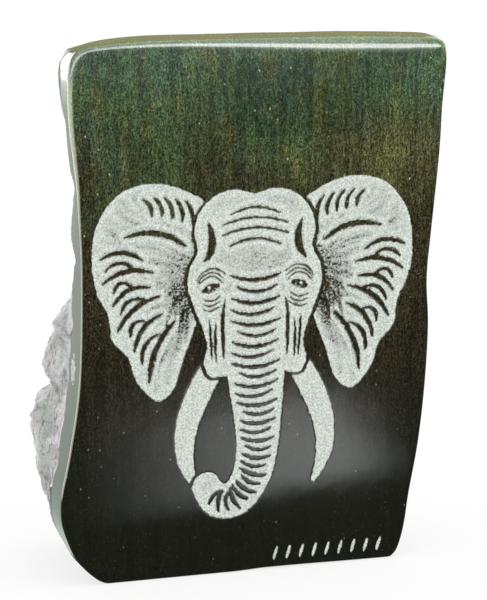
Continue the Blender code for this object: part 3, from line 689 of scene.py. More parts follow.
def lump_noise(point, size):
    """Smooth noise from about -1 to 1 that changes over the given length."""
    return noise.fractal(Vector(point) / size, NOISE_FADE, NOISE_FINER, NOISE_LAYERS) * NOISE_GAIN


def chips(point, size):
    """Noise of tilted facets, like stone that broke in chips of about this size."""
    place = Vector(point) / size
    centre = noise.voronoi(place)[1][0]
    tilt = noise.noise_vector(centre * 7.3)
    return (place - centre).dot(tilt) * 1.6 + tilt.x * 0.5


def depths_at(flat):
    """How far behind the face the back lies, for places (x, z)."""
    up = np.clip(flat[:, 1] / STONE_HEIGHT, 0, 1)
    waves = [BACK_RELIEF * lump_noise((x, 0.5, z), BACK_LUMP) for x, z in flat]
    return BASE_DEPTH + (TOP_DEPTH - BASE_DEPTH) * up + np.array(waves)


def left_side(heights):
    """How deep the left side's band is at these heights, and how far the rough stone behind it reaches."""
    shares, bands, reaches = np.array(LEFT_SIDE).T
    return [np.interp(heights / STONE_HEIGHT, shares, values) for values in (bands, reaches)]


def section(flat, depths):
    """Where the outline's points (x, z) lie at these depths behind the face.

    Behind the polish the left side first swells or sinks by its reach and then falls away towards
    the back, and the right side leans all the way. The shift fades out towards the middle of the
    width, so that no section crosses itself.
    """
    band, reach = left_side(flat[:, 1])
    behind = np.maximum(depths - band, 0)
    left = reach * smoothstep(0, REACH_RISE, behind) - LEFT_FALL * np.maximum(behind - REACH_RISE, 0)
    heights, leans = np.array(RIGHT_SIDE).T
    right = np.interp(flat[:, 1] / STONE_HEIGHT, heights, leans) * np.maximum(depths - SIDE_EDGE[1], 0)
    shift = np.zeros(len(flat))
    for side, outward in ((-1, left), (1, right)):
        shift += side * outward * smoothstep(0, STONE_WIDTH / 2, side * flat[:, 0])
    return np.column_stack([flat[:, 0] + shift, depths, flat[:, 1]])


def polish_table(outline, normals):
    """For each outline point, how deep the smooth band is and how rough the stone is behind it."""
    is_left, is_right = (smoothstep(FLAT_UNTIL, SIDE_FROM, side * normals[:, 0]) for side in (-1, 1))
    left_band, reach = left_side(outline[:, 1])
    left_roughness = INWARD_ROUGHNESS + (1 - INWARD_ROUGHNESS) * smoothstep(INWARD_FROM, 0, reach)
    band = RIGHT_BAND_DEPTH + is_left * (left_band - RIGHT_BAND_DEPTH)
    return band, is_left * left_roughness + is_right


def broken(points, directions, amounts):
    """Pushes the points along their directions by the lumps and chips of broken stone.

    Gives the points, and how far each stands out of its hollows, from 0 to 1.
    """
    pushes = np.zeros(len(points))
    stands = np.full(len(points), 0.5)
    for i in np.nonzero(amounts > 0)[0]:
        p = points[i]
        chip = sum(height * chips(p, size) for size, height in CHIPS)
        chip += GRIT_HEIGHT * noise.noise(Vector(p) / GRIT_SIZE)
        pushes[i] = (ROUGH_RELIEF * lump_noise(p, ROUGH_LUMP) + chip) * amounts[i]
        stands[i] = 0.5 + chip / CHIP_SPAN
    return points + directions * pushes[:, None], np.clip(stands, 0, 1)


def stone_rings():
    """Closed rings of points from the face's edge round the sides to the back's rim.

    Gives with each ring how broken the stone looks at its points, and how far they stand out.
    """
    outline, normals = stone_outline()
    high_left = smoothstep(0, 1, -normals[:, 0]) * smoothstep(*HIGH, outline[:, 1] / STONE_HEIGHT)
    drop, run = front_edge(outline, normals, high_left)
    back = depths_at(outline) - BACK_ROUNDING
    band, roughness = polish_table(outline, normals)
    band = np.maximum(band, run * LEAST_BAND)
    sideways = np.column_stack([normals[:, 0], np.zeros(len(normals)), normals[:, 1]])
    smooth = np.zeros(len(outline))

    rim = outline - normals * (drop + FACE_RIM)[:, None]
    rings = [np.column_stack([rim[:, 0], smooth, np.maximum(rim[:, 1], 0)])]
    for lean in np.linspace(0, math.pi / 2, FRONT_EDGE_RINGS):
        turn = np.arctan2(math.sin(lean) * drop, math.cos(lean) * run)
        flat = outline - normals * (drop * (1 - np.sin(turn)))[:, None]
        ring = section(flat, run * (1 - np.cos(turn)))
        ring[:, 2] = np.maximum(ring[:, 2], 0)
        rings.append(ring)
    roll = -sideways * (BAND_ROLL * high_left)[:, None]
    for share in np.arange(1, BAND_RINGS) / BAND_RINGS:
        rolled = max(share - BAND_ROLL_FROM, 0) / (1 - BAND_ROLL_FROM)
        rings.append(section(outline, run + (band - run) * share) + roll * rolled**BAND_ROLL_GROWTH)
    breaks = [smooth] * len(rings)
    stands = [smooth + 0.5] * len(rings)
    for share in np.linspace(0, 1, ROUGH_RINGS):
        depths = band + (back - band) * share
        spots = np.column_stack([outline[:, 0], depths, outline[:, 1]])
        uneven = [Vector((x, y, z * BAND_END_STRETCH)) / BAND_END_SIZE for x, y, z in spots]
        end = [noise.fractal(place, 1, 2, 2) for place in uneven]
        behind = depths - band + BAND_END_WANDER * np.array(end)
        share_broken = smoothstep(0, BROKEN_LOOK_RISE, behind)
        amount = roughness * share_broken * smoothstep(0, BROKEN_PUSH_RISE, behind)
        ring, stand = broken(section(outline, depths) + roll, sideways, amount)
        ring[:, 2] = np.maximum(ring[:, 2], 0)
        rings.append(ring)
        wander = [noise.fractal(Vector(spot) / LOOK_WANDER_SIZE, 1, 2, 3) for spot in spots]
        wandered = outline + np.column_stack([smooth, LOOK_WANDER * np.array(wander)])
        breaks.append(polish_table(wandered, normals)[1] * share_broken)
        stands.append(stand)
    last_side = rings[-1]
    for angle in np.linspace(0, math.pi / 2, BACK_EDGE_RINGS + 1)[1:]:
        drawn_in = BACK_ROUNDING * (1 - math.cos(angle))
        ring = last_side * (1 - drawn_in / (STONE_WIDTH / 2), 1, 1 - drawn_in / STONE_HEIGHT)
        ring[:, 1] += BACK_ROUNDING * math.sin(angle)
        rings.append(ring)
        breaks.append(np.maximum(breaks[-1], 1 - math.cos(angle)))
        stands.append(stands[-1])
    return rings, breaks, stands


def hex_lattice(low, high, spacing):
    """Points in staggered rows over a box, and how many times each point's row and column halve."""
    rows = np.arange(low[1], high[1], spacing * math.sqrt(0.75))
    columns = np.arange(low[0], high[0], spacing)
    x = columns[None, :] + spacing / 2 * (np.arange(len(rows)) % 2)[:, None]
    z = np.broadcast_to(rows[:, None], x.shape)
    i, k = np.meshgrid(np.arange(len(rows)), np.arange(len(columns)), indexing="ij")
    return np.column_stack([x.ravel(), z.ravel()]), i.ravel(), k.ravel()


def lattice_share(i, k, step):
    """Whether a lattice point belongs to the coarser lattice of every step-th point."""
    return (i % step == 0) & ((k - (i // step % 2) * (step // 2)) % step == 0)


def spread(mask):
    """The mask and the lattice points next to it."""
    wide = mask.copy()
    wide[1:] |= mask[:-1]
    wide[:-1] |= mask[1:]
    wide[:, 1:] |= mask[:, :-1]
    wide[:, :-1] |= mask[:, 1:]
    return wide


def front_points(rim):
    """Points over the face, closest along the lines of the drawing, and the frosting at each."""
    places, row, column = hex_lattice(rim.min(axis=0), rim.max(axis=0), LATTICE)
    tones = frost_tones(places)
    grid = tones.reshape(row.max() + 1, column.max() + 1)
    slope = np.zeros(grid.shape)
    slope[:, 1:-1] = np.abs(grid[:, 2:] - grid[:, :-2])
    slope[1:-1] = np.maximum(slope[1:-1], np.abs(grid[2:] - grid[:-2]))
    edge = slope > EDGE_SLOPE
    near = edge
    for _ in range(NEAR_STEPS):
        near = spread(near)
    fine, coarse = (lattice_share(row, column, step) for step in (FINE_STEP, COARSE_STEP))
    keep = edge.ravel() | (near.ravel() & fine) | coarse | ((tones > FROSTED_FROM) & fine)
    keep &= inside(places, rim)
    keep[keep] = distances(places[keep], rim) > RIM_GAP
    return places[keep], tones[keep]


def back_points(rim):
    """Points over the back, a little uneven."""
    places = hex_lattice(rim.min(axis=0), rim.max(axis=0), BACK_SPACING)[0]
    shakes = [noise.noise_vector(Vector((x, 0, z)) / BACK_SPACING * SHAKE_FINER).xz for x, z in places]
    places = places + np.array(shakes) * BACK_SPACING * BACK_SHAKE
    places = places[inside(places, rim)]
    return places[distances(places, rim) > BACK_RIM_GAP * BACK_SPACING]


def skin(rim, inner):
    """Triangles between a rim's loop and the points inside it, which are counted after the rim's."""
    count = len(rim)
    edges = [(i, (i + 1) % count) for i in range(count)]
    flat = [Vector(p) for p in np.vstack([rim, inner])]
    return geometry.delaunay_2d_cdt(flat, edges, [], 1, 1e-7)[2]


def limited(points, low, high):
    """The points with what would stand outside the box drawn in, softly over the last stretch."""
    for sign, limit in ((-1, -low), (1, high)):
        over = points * sign - (limit - LIMIT_SOFT)
        drawn_in = sign * (limit - LIMIT_SOFT * np.exp(-np.maximum(over, 0) / LIMIT_SOFT))
        points = np.where(over > 0, drawn_in, points)
    return points


def unfold(mesh, rings, points, front_count):
    """A map of the surface in which no place lies on another: face, left side, other sides and back."""
    around, ring_count = len(rings[0]), len(rings) * len(rings[0])
    steps = np.linalg.norm(np.diff(np.array(rings), axis=0), axis=2)
    behind = np.vstack([np.zeros(around), np.cumsum(steps, axis=0)])
    outline = rings[FRONT_EDGE_RINGS][:, (0, 2)]
    along = np.cumsum(np.linalg.norm(outline - np.roll(outline, 1, axis=0), axis=1))
    along = np.append(along, along[-1] + np.linalg.norm(outline[0] - outline[-1]))
    corner = int(np.argmax(outline[:, 1] > MAP_LEFT_UNTIL * STONE_HEIGHT))

    vertex = np.empty(len(mesh.loops), np.int32)
    mesh.loops.foreach_get("vertex_index", vertex)
    sides = np.empty(len(mesh.polygons), np.int32)
    mesh.polygons.foreach_get("loop_total", sides)
    polygon = np.repeat(np.arange(len(sides)), sides)
    is_side = sides[polygon] == 4

    ring, column = vertex // around, vertex % around
    ends = np.bincount(polygon, column == around - 1) > 0
    column = np.where((column == 0) & ends[polygon], around, column)
    is_left = (np.bincount(polygon, column) / sides)[polygon] < corner
    ring = np.minimum(ring, len(rings) - 1)
    depth = behind[ring, column % around]
    x, y, width, height = MAP_LEFT
    left = (x + width * depth / behind[:, :corner + 1].max(), y + height * along[column] / along[corner])
    x, y, width, height = MAP_SIDES
    length = (along[column] - along[corner]) / (along[-1] - along[corner])
    strip = (x + width * length, y + height * depth / behind.max())

    across, up = (points[vertex, 0] - points[:, 0].min()) / STONE_HEIGHT, points[vertex, 2] / STONE_HEIGHT
    x, y, size = MAP_FACE
    front = (x + across * size, y + up * size)
    x, y, size = MAP_BACK
    back = (x - across * size * MAP_BACK_SQUEEZE, y + up * size)
    is_front = (vertex < around) | ((vertex >= ring_count) & (vertex < ring_count + front_count))
    conditions = (is_side & is_left, is_side, is_front)
    flat = [np.select(conditions, (left[k], strip[k], front[k]), back[k]) for k in (0, 1)]
    mesh.uv_layers.new(name="OFBake").data.foreach_set("uv", np.column_stack(flat).ravel())


def build_stone():
    """The block, and how far its own middle lies from that of the CAD's box."""
    noise.seed_set(SHAKE_SEED)
    rings, breaks, stands = stone_rings()
    around = len(rings[0])
    front_rim, back_rim = rings[0][:, (0, 2)], rings[-1][:, (0, 2)]

    places, tones = front_points(front_rim)
    depth = FROST_DEPTH * smoothstep(FROST_DEEP_FROM, FROST_DEEP_TO, tones)
    front = np.column_stack([places[:, 0], depth, places[:, 1]])
    front_faces = np.array(skin(front_rim, places))

    inner = back_points(back_rim)
    crown = np.minimum(1, distances(inner, back_rim) / BACK_CROWN)
    back = np.column_stack([inner[:, 0], depths_at(inner) + BACK_BULGE * np.sqrt(crown), inner[:, 1]])
    amount = smoothstep(0, BACK_BROKEN_RISE, distances(inner, back_rim))
    back, back_stands = broken(back, np.broadcast_to((0.0, 1.0, 0.0), back.shape), amount)
    back_faces = np.array(skin(back_rim, inner))

    ring_count = around * len(rings)
    points = np.vstack(rings + [front, back])
    frost = np.zeros(len(points))
    frost[ring_count:ring_count + len(front)] = tones
    rough = np.concatenate(breaks + [np.zeros(len(front)), np.ones(len(back))])
    hollow = np.concatenate(stands + [np.full(len(front), 0.5), back_stands])

    i = np.arange(around)
    j = (i + 1) % around
    faces = []
    for ring in range(len(rings) - 1):
        a, b = ring * around, (ring + 1) * around
        faces.extend(np.column_stack([a + i, a + j, b + j, b + i]).tolist())
    front_index = np.concatenate([i, ring_count + np.arange(len(front))])
    last = ring_count - around
    back_index = np.concatenate([last + i, ring_count + len(front) + np.arange(len(back))])
    faces.extend(front_index[front_faces].tolist())
    faces.extend(back_index[back_faces][:, ::-1].tolist())

    low, high = (np.array(corner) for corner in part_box("engraved_stone"))
    cad_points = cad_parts["engraved_stone"].data.vertices
    cad_face = [v.co.x for v in cad_points if v.co.y < low[1] + 1e-6]
    shift = np.array((max(cad_face) - rings[1][:, 0].max(), low[1], 0.0))
    points = points + shift
    points = limited(points, low, high)

    mesh = bpy.data.meshes.new("engraved_block")
    mesh.from_pydata(points.tolist(), [], faces)
    for name, values in (("frost", frost), ("rough", rough), ("hollow", hollow)):
        attribute = mesh.attributes.new(name, "FLOAT", "POINT")
        attribute.data.foreach_set("value", values.astype(np.float32))
    mesh.validate()
    mesh.shade_smooth()
    unfold(mesh, rings, points, len(front))
    stone = bpy.data.objects.new("engraved_block", mesh)
    bpy.context.scene.collection.objects.link(stone)
    return stone, shift


# Camera

CAMERA_TARGET = (-0.00225, 0.0, 0.07695)
CAMERA_DISTANCE = 0.700
CAMERA_AZIMUTH = math.radians(-19)
CAMERA_ELEVATION = math.radians(10)
CAMERA_LENS = 153.3


def make_camera(shift):
    camera = bpy.data.objects.new("camera", bpy.data.cameras.new("camera"))
    bpy.context.scene.collection.objects.link(camera)
    camera.data.lens = CAMERA_LENS
    back = Vector((
        math.sin(CAMERA_AZIMUTH) * math.cos(CAMERA_ELEVATION),
        -math.cos(CAMERA_AZIMUTH) * math.cos(CAMERA_ELEVATION),
        math.sin(CAMERA_ELEVATION),
    ))
    target = Vector(CAMERA_TARGET) + Vector(shift)
    camera.location = target + back * CAMERA_DISTANCE
    camera.rotation_euler = back.to_track_quat("Z", "Y").to_euler()
    bpy.context.scene.camera = camera


# Shader nodes


def colour(red, green, blue):
    """A colour given as it looks on a screen, from 0 to 255, as the shaders' linear values."""
    values = [c / 255 for c in (red, green, blue)]
    return (*[c / 12.92 if c <= 0.04045 else ((c + 0.055) / 1.055) ** 2.4 for c in values], 1.0)


def link(socket, value):
    if isinstance(value, Value):
        socket.id_data.links.new(value.socket, socket)
    else:
        socket.default_value = value


def add(tree, kind, inputs, output=0, **settings):
    """An output of a new node with these settings and with its inputs linked or set."""
    node = tree.nodes.new(kind)
    for name, value in settings.items():
        setattr(node, name, value)
    for name, value in inputs.items():
        link(node.inputs[name], value)
    return Value(node, output)


class Value:
    """What comes out of a shader node. Its methods add the nodes that work on it."""

    def __init__(self, node, output=0):
        self.node = node
        self.socket = node.outputs[output]

    def add(self, kind, inputs, output=0, **settings):
        return add(self.node.id_data, kind, inputs, output, **settings)

    def maths(self, operation, other=0.0):
        return self.add("ShaderNodeMath", {0: self, 1: other}, operation=operation)

    def __add__(self, other):
        return self.maths("ADD", other)

    def __sub__(self, other):
        return self.maths("SUBTRACT", other)

    def __mul__(self, other):
        return self.maths("MULTIPLY", other)

    def between(self, low, high, start=0.0, end=1.0):
        """Goes smoothly from start to end as the value goes from low to high."""
        inputs = {"Value": self, "From Min": low, "From Max": high, "To Min": start, "To Max": end}
        return self.add("ShaderNodeMapRange", inputs, interpolation_type="SMOOTHSTEP")

    def window(self, rise, fall):
        """From 0 to 1 over the rise's two values, and back from 1 to 0 over the fall's."""
        return self.between(*rise) * self.between(*fall)

    def blend(self, first, second):
        """From the first colour to the second as the value goes from 0 to 1."""
        return self.add("ShaderNodeMix", {"Factor": self, 6: first, 7: second}, 2, data_type="RGBA")

    def ramp(self, stops):
        """A colour that changes with the value through these (place, colour) stops."""
        result = self.add("ShaderNodeValToRGB", {"Fac": self})
        elements = result.node.color_ramp.elements
        for place, _ in stops[2:]:
            elements.new(place)
        for element, (place, shade) in zip(elements, stops):
            element.position = place
            element.color = shade
        return result

    def parts(self):
        node = self.add("ShaderNodeSeparateXYZ", {0: self}).node
        return [Value(node, name) for name in "XYZ"]

    def vector_maths(self, operation, inputs, output=0):
        return self.add("ShaderNodeVectorMath", {0: self, **inputs}, output, operation=operation)

    def scaled(self, factor):
        return self.vector_maths("SCALE", {"Scale": factor})

    def stretched(self, factors, offset=(0, 0, 0)):
        return self.vector_maths("MULTIPLY_ADD", {1: factors, 2: offset})

    def cloud(self, size, detail=2.0, roughness=0.5, output="Fac"):
        """Soft noise from 0 to 1 whose largest lumps are about this size."""
        inputs = {"Vector": self, "Scale": 1 / size, "Detail": detail, "Roughness": roughness}
        return self.add("ShaderNodeTexNoise", inputs, output)

    def cells(self, size):
        """Scattered cells: the way to the nearest middle as a share of the size, and two random values."""
        away = self.add("ShaderNodeTexVoronoi", {"Vector": self, "Scale": 1 / size}, "Distance")
        node = self.add("ShaderNodeSeparateColor", {0: Value(away.node, "Color")}).node
        return away, Value(node, 0), Value(node, 1)

    def unsteady(self, size, shift):
        """Places shifted sideways by soft noise, so that what runs straight up leans this way and that."""
        drift = self.cloud(size, output="Color")
        return self.vector_maths("ADD", {1: drift.stretched((2 * shift, 0, 0), (-shift, 0, 0))})


# The polished stone, from the base up, as shares of its height, and how far the steps wander
# Partly the stone's own colour and partly painted light: lighter and greener towards the top as if lit
# from above
BODY_AND_PAINTED_LIGHT = (
    (0.0, colour(21, 23, 15)), (0.18, colour(24, 25, 17)), (0.40, colour(36, 31, 21)),
    (0.58, colour(46, 41, 26)), (0.70, colour(46, 45, 28)), (0.78, colour(57, 66, 41)),
    (0.86, colour(56, 75, 46)), (1.0, colour(60, 80, 56)),
)
BODY_WANDER = 0.07
BODY_WANDER_SIZE = 0.020
BLUE_GREEN = colour(52, 74, 56)
OLIVE = colour(78, 80, 42)
BROWN = colour(92, 86, 54)
GOLD = colour(150, 148, 92)
PALE_FLECK = colour(196, 206, 160)
YELLOW_GREEN = colour(84, 100, 46)
# Heights and places across below are in metres, as the pair over which something sets in or, with the
# larger value first, ends. The blotches are in the green upper part: their size, how much they are
# stretched upright, the noise's offset, its values from the body's colour to theirs, their share
GREEN_HEIGHTS = (0.088, 0.118)
BLOTCHES = (
    (0.010, 0.6, (3, 0, 0), 0.50, 0.64, 0.70, BLUE_GREEN),
    (0.0055, 0.5, (0, 0, 5), 0.50, 0.66, 0.75, OLIVE),
    (0.0032, 0.5, (7, 0, 2), 0.54, 0.68, 0.55, BLUE_GREEN),
)
# High on the right there are yellow patches, and a brown zone below them
YELLOW_SIZE = 0.014
YELLOW_HEIGHTS = (0.095, 0.120)
YELLOW_ACROSS = (0.0, 0.030)
BROWN_HEIGHTS = ((0.096, 0.114), (0.136, 0.118))
BROWN_ACROSS = (0.0, 0.045)
SIDE_SHARE = 0.6
# Two deeper zones: where they set in and end across and up, and what is left of the brightness
DEEPER = (
    ((-0.026, 0.004), (0.042, 0.020), (0.114, 0.127), (0.146, 0.140), 0.60),
    ((0.010, 0.028), (0.200, 0.100), (0.092, 0.102), (0.134, 0.122), 0.80),
)
# Upright fibres, weaker near the base: their width, how much they are squeezed upright, the noise's
# values from dark to light, and the brightness there
FIBRES = (
    (0.0007, 0.30, 0.35, 0.65, 0.44, 1.70),
    (0.0026, 0.08, 0.38, 0.60, 0.64, 1.26),
    (0.00038, 0.55, 0.37, 0.65, 0.16, 2.30),
)
FIBRE_LEAN_SIZE = 0.006
FIBRE_LEAN = 0.0009
FIBRES_WEAKER = (0.015, 0.080, 0.45, 1.0)
# Fine golden flecks in crowds, and scattered pale specks
FLECK_SIZE = 0.00055
FLECK_SHARE = 0.75
CROWD_SIZE = 0.005
CROWD_HEIGHTS = (0.05, 0.10, 0.12, 1.0)
SPECK_SPACING = 0.0032
SPECK_EDGE = (0.085, 0.045)
SPECK_PICK = (0.40, 0.45)
SPECK_HEIGHTS = (0.06, 0.11, 0.35, 1.0)
SPECK_SHARE = 0.9


def polished_colour(where):
    """Green at the top, brown in the middle, near black below, partly painted light from above, with
    blotches, fibres, flecks.
    """
    across, _, height = where.parts()
    wander = where.stretched((1, 1, 0.5)).cloud(BODY_WANDER_SIZE, 3)
    # Painted light in part: the ramp makes the top lighter and greener as if lit from above
    body = (height * (1 / STONE_HEIGHT) + wander.between(0.3, 0.7, -BODY_WANDER, BODY_WANDER)).ramp(BODY_AND_PAINTED_LIGHT)
    green = height.between(*GREEN_HEIGHTS)
    for size, squash, offset, low, high, share, shade in BLOTCHES:
        blotch = where.stretched((1, 1, squash), offset).cloud(size, 4, 0.65)
        body = (blotch.between(low, high) * (green * share)).blend(body, shade)
    yellow = where.stretched((1, 1, 0.5), (1, 0, 8)).cloud(YELLOW_SIZE, 4, 0.65).between(0.48, 0.62)
    yellow = yellow * green * across.between(*YELLOW_ACROSS, 0.0, SIDE_SHARE)
    body = (yellow * height.between(*YELLOW_HEIGHTS)).blend(body, YELLOW_GREEN)
    brown = height.window(*BROWN_HEIGHTS) * across.between(*BROWN_ACROSS) * SIDE_SHARE
    body = brown.blend(body, BROWN)
    for left, right, bottom, top, brightness in DEEPER:
        zone = across.window(left, right) * height.window(bottom, top)
        body = body.scaled(zone.between(0.0, 1.0, 1.0, brightness))
    leaning = where.unsteady(FIBRE_LEAN_SIZE, FIBRE_LEAN)
    contrast = height.between(*FIBRES_WEAKER)
    for width, squash, low, high, dark, light in FIBRES:
        fibres = leaning.stretched((1, 1, squash)).cloud(width, 3, 0.8)
        body = body.scaled(fibres.between(low, high, dark - 1, light - 1) * contrast + 1.0)
    crowd = where.cloud(CROWD_SIZE, 3).between(0.42, 0.58) * height.between(*CROWD_HEIGHTS)
    fleck = where.stretched((1, 1, 0.75), (1, 5, 2)).cloud(FLECK_SIZE, 1).between(0.66, 0.72)
    body = (fleck * crowd * FLECK_SHARE).blend(body, GOLD)
    away, pick, strength = where.stretched((1, 1, 0.7), (2, 0, 1)).cells(SPECK_SPACING)
    speck = away.between(*SPECK_EDGE) * pick.between(*SPECK_PICK) * height.between(*SPECK_HEIGHTS)
    return (speck * (strength * SPECK_SHARE)).blend(body, PALE_FLECK)


# The frosting: its colours, the size of its dots and its softer and broader unevenness, how much a dot
# differs from the next, and how far a tone has to fall short of a dot for it to be white or bare
FROST = colour(236, 241, 234)
FROST_SHADE = colour(160, 170, 161)
FROST_GRAIN = 0.00045
STIPPLE = 0.00030
STIPPLE_SHARE = 0.48
SOFT_SIZE = 0.0009
SOFT_CHANGE = (-0.08, 0.24)
BROAD_SIZE = 0.004
BROAD_CHANGE = (-0.07, 0.11)
DOT_EDGE = (-0.20, 0.18)
LEAST_TONE = (0.03, 0.12)
THIN_FROST = (0.35, 0.90, 0.72, 1.0)


def frost_share(where, frost):
    """How much of a place is frosted white: the tone broken up into the stipple's dots."""
    grain = where.cells(STIPPLE)[1]
    soft = where.cloud(SOFT_SIZE, 3, 0.7).between(0.3, 0.7, *SOFT_CHANGE)
    broad = where.stretched((1, 1, 0.6)).cloud(BROAD_SIZE, 2).between(0.3, 0.7, *BROAD_CHANGE)
    lack = frost - (grain * STIPPLE_SHARE + (soft + broad))
    return lack.between(*DOT_EDGE) * frost.between(*LEAST_TONE)


# The broken stone: its colours, and the sizes of its pale patches, green runs, and shaded creases and pits
BROKEN_PALE = colour(206, 200, 204)
BROKEN_MIDDLE = colour(172, 167, 170)
BROKEN_GREEN = colour(160, 174, 164)
# The colour of the painted shade in its hollows, creases and pits
BROKEN_PAINTED_SHADE = colour(92, 100, 92)
PALE_SIZE = 0.006
BROKEN_LEAN_SIZE = 0.006
BROKEN_LEAN = 0.0015
RUN_WIDTH = 0.0035
CREASE_SHADE_WIDTH = 0.0040
PIT_SHADE_SIZE = 0.0011
GRAIN_SIZE = 0.0005
GRAIN_BRIGHTNESS = (0.83, 1.20)
# Painted shade darkens it in its hollows, by this share, and it is darker towards the base
HOLLOW_PAINTED_SHADE = (0.50, 0.15, 0.0, 0.35)
LOW_DARK = (0.012, 0.034, 0.45, 1.0)


def broken_colour(where, hollow):
    """Pinkish grey fracture with pale hackles, greenish runs down it, and painted shade in hollows, pits
    and creases.
    """
    body = where.cloud(PALE_SIZE, 4, 0.65).between(0.35, 0.65).blend(BROKEN_MIDDLE, BROKEN_PALE)
    upright = where.unsteady(BROKEN_LEAN_SIZE, BROKEN_LEAN)
    runs = upright.stretched((1, 1, 0.12), (4, 0, 0)).cloud(RUN_WIDTH, 3, 0.6)
    body = runs.between(0.50, 0.62, 0.0, 0.75).blend(body, BROKEN_GREEN)
    # Painted shade in the hollows between the chips
    body = hollow.between(*HOLLOW_PAINTED_SHADE).blend(body, BROKEN_PAINTED_SHADE)
    # Painted shade along creases and in pits
    crease_shade = upright.stretched((1, 1, 0.16), (0, 3, 0)).cloud(CREASE_SHADE_WIDTH, 3, 0.65) - 0.5
    body = crease_shade.maths("ABSOLUTE").between(0.030, 0.004, 0.0, 0.75).blend(body, BROKEN_PAINTED_SHADE)
    body = where.cloud(PIT_SHADE_SIZE, 3, 0.75).between(0.60, 0.70, 0.0, 0.8).blend(body, BROKEN_PAINTED_SHADE)
    body = body.scaled(where.parts()[2].between(*LOW_DARK))
    return body.scaled(where.cloud(GRAIN_SIZE, 2, 0.7).between(0.3, 0.7, *GRAIN_BRIGHTNESS))


# A small rough patch in the polish of the left side
ROUGH_PATCH_PLACE = (-0.0515, -0.0190, 0.0592)
ROUGH_PATCH_HALF_SIZE = (0.0040, 0.0020, 0.0036)
ROUGH_PATCH_EDGE = (1.1, 0.9)
# Where the stone is partly broken, its look is in blotches with a fine uneven edge: the size of the
# unevenness and of the blotches, how much both change the share, and what share then looks broken
UNEVEN_SIZE = 0.0012
UNEVEN = 0.3
UNEVEN_SHARE = 0.45
BLOTCH_SIZE = 0.0060
BLOTCH = 0.28
BLOTCH_FROM = (0.0, 0.3)
LOOKS_BROKEN = (0.30, 0.58)


def broken_share(where, rough):
    """Where the stone looks broken, from 0 to 1."""
    uneven = where.cloud(UNEVEN_SIZE, 3).between(0.3, 0.7, -UNEVEN, UNEVEN)
    blotches = where.cloud(BLOTCH_SIZE, 3, 0.6).between(0.35, 0.65, -BLOTCH, BLOTCH)
    blotches = (blotches + uneven * UNEVEN_SHARE) * rough.between(*BLOTCH_FROM)
    broken = (rough + blotches).between(*LOOKS_BROKEN)
    away = where.vector_maths("SUBTRACT", {1: ROUGH_PATCH_PLACE})
    away = away.vector_maths("DIVIDE", {1: ROUGH_PATCH_HALF_SIZE})
    patch = (away.vector_maths("LENGTH", {}, "Value") + uneven).between(*ROUGH_PATCH_EDGE)
    return broken.maths("MAXIMUM", patch)


POLISH_ROUGHNESS = 0.11
BROKEN_ROUGHNESS = 0.85
STONE_IOR = 1.55
# The polish's slow waves and the grit of what isn't polished, each with its size and height
WAVE_SIZE = 0.012
WAVE_HEIGHT = 0.00008
MATT_GRIT_SIZE = 0.00045
MATT_GRIT_HEIGHT = 0.0002
MATT_GRIT_STRENGTH = 0.8


def stone_material():
    material = bpy.data.materials.new("polished_green_stone_look")
    material.use_nodes = True
    tree = material.node_tree
    sockets = tree.nodes["Principled BSDF"].inputs
    frost, rough, hollow = (
        add(tree, "ShaderNodeAttribute", {}, "Fac", attribute_name=name)
        for name in ("frost", "rough", "hollow")
    )
    where = add(tree, "ShaderNodeTexCoord", {}, "Object")
    white = frost_share(where, frost)
    frosting = where.cloud(FROST_GRAIN, 3, 0.8).between(0.36, 0.62).blend(FROST_SHADE, FROST)
    frosting = frosting.scaled(frost.between(*THIN_FROST))
    body = white.blend(polished_colour(where), frosting)
    broken = broken_share(where, rough)
    link(sockets["Base Color"], broken.blend(body, broken_colour(where, hollow)))
    matt = white.maths("MAXIMUM", broken)
    link(sockets["Roughness"], matt.between(0.0, 1.0, POLISH_ROUGHNESS, BROKEN_ROUGHNESS))
    sockets["IOR"].default_value = STONE_IOR
    waves, grit = where.cloud(WAVE_SIZE, 2), where.cloud(MATT_GRIT_SIZE, 3, 0.8)
    polish = add(tree, "ShaderNodeBump", {"Height": waves, "Distance": WAVE_HEIGHT, "Strength": 1.0})
    strength = matt * MATT_GRIT_STRENGTH
    inputs = {"Height": grit, "Distance": MATT_GRIT_HEIGHT, "Strength": strength, "Normal": polish}
    link(sockets["Normal"], add(tree, "ShaderNodeBump", inputs))
    return material


# What the polish mirrors, in front of the block, overhead and behind it: degrees up from the front
# horizon over the top to the back horizon, and the brightness there
BRIGHTEST = 16.0
SKY = (
    (0, (2.6, 2.9, 2.9)), (5, (4.4, 4.8, 4.8)), (12, (16.0, 16.0, 16.0)), (44, (16.0, 16.0, 16.0)),
    (60, (4.2, 4.8, 4.4)), (100, (3.0, 3.5, 2.9)), (124, (2.6, 3.0, 2.3)), (142, (0.95, 0.95, 0.62)),
    (165, (0.52, 0.49, 0.28)), (176, (0.36, 0.34, 0.17)),
)
# Changes to it, as shares of BRIGHTEST, with the sideways or upward parts of the mirrored direction
# between which they set in. The sky behind starts between these angles, and is dark near the horizon
# and pale on the left. In front it is weaker on the right, and beyond the sky's end it is dark
BEHIND = (148, 160)
DARK_UP = (0.10, 0.05)
DARK_ACROSS = (0.20, 0.12)
DARK_BEHIND = (0.060, 0.065, 0.060, 1)
PALE_ACROSS = (-0.07, -0.14)
PALE_BEHIND = (0.38, 0.38, 0.38, 1)
WEAKER_ANGLES = ((70, 50), (5, 12))
WEAKER_ACROSS = (0.38, 0.20)
WEAKER_SHARE = 0.8
WEAKER = (0.50, 0.52, 0.50, 1)
SKY_END = (0.405, 0.455)
BEYOND = (0.10, 0.13, 0.09, 1)


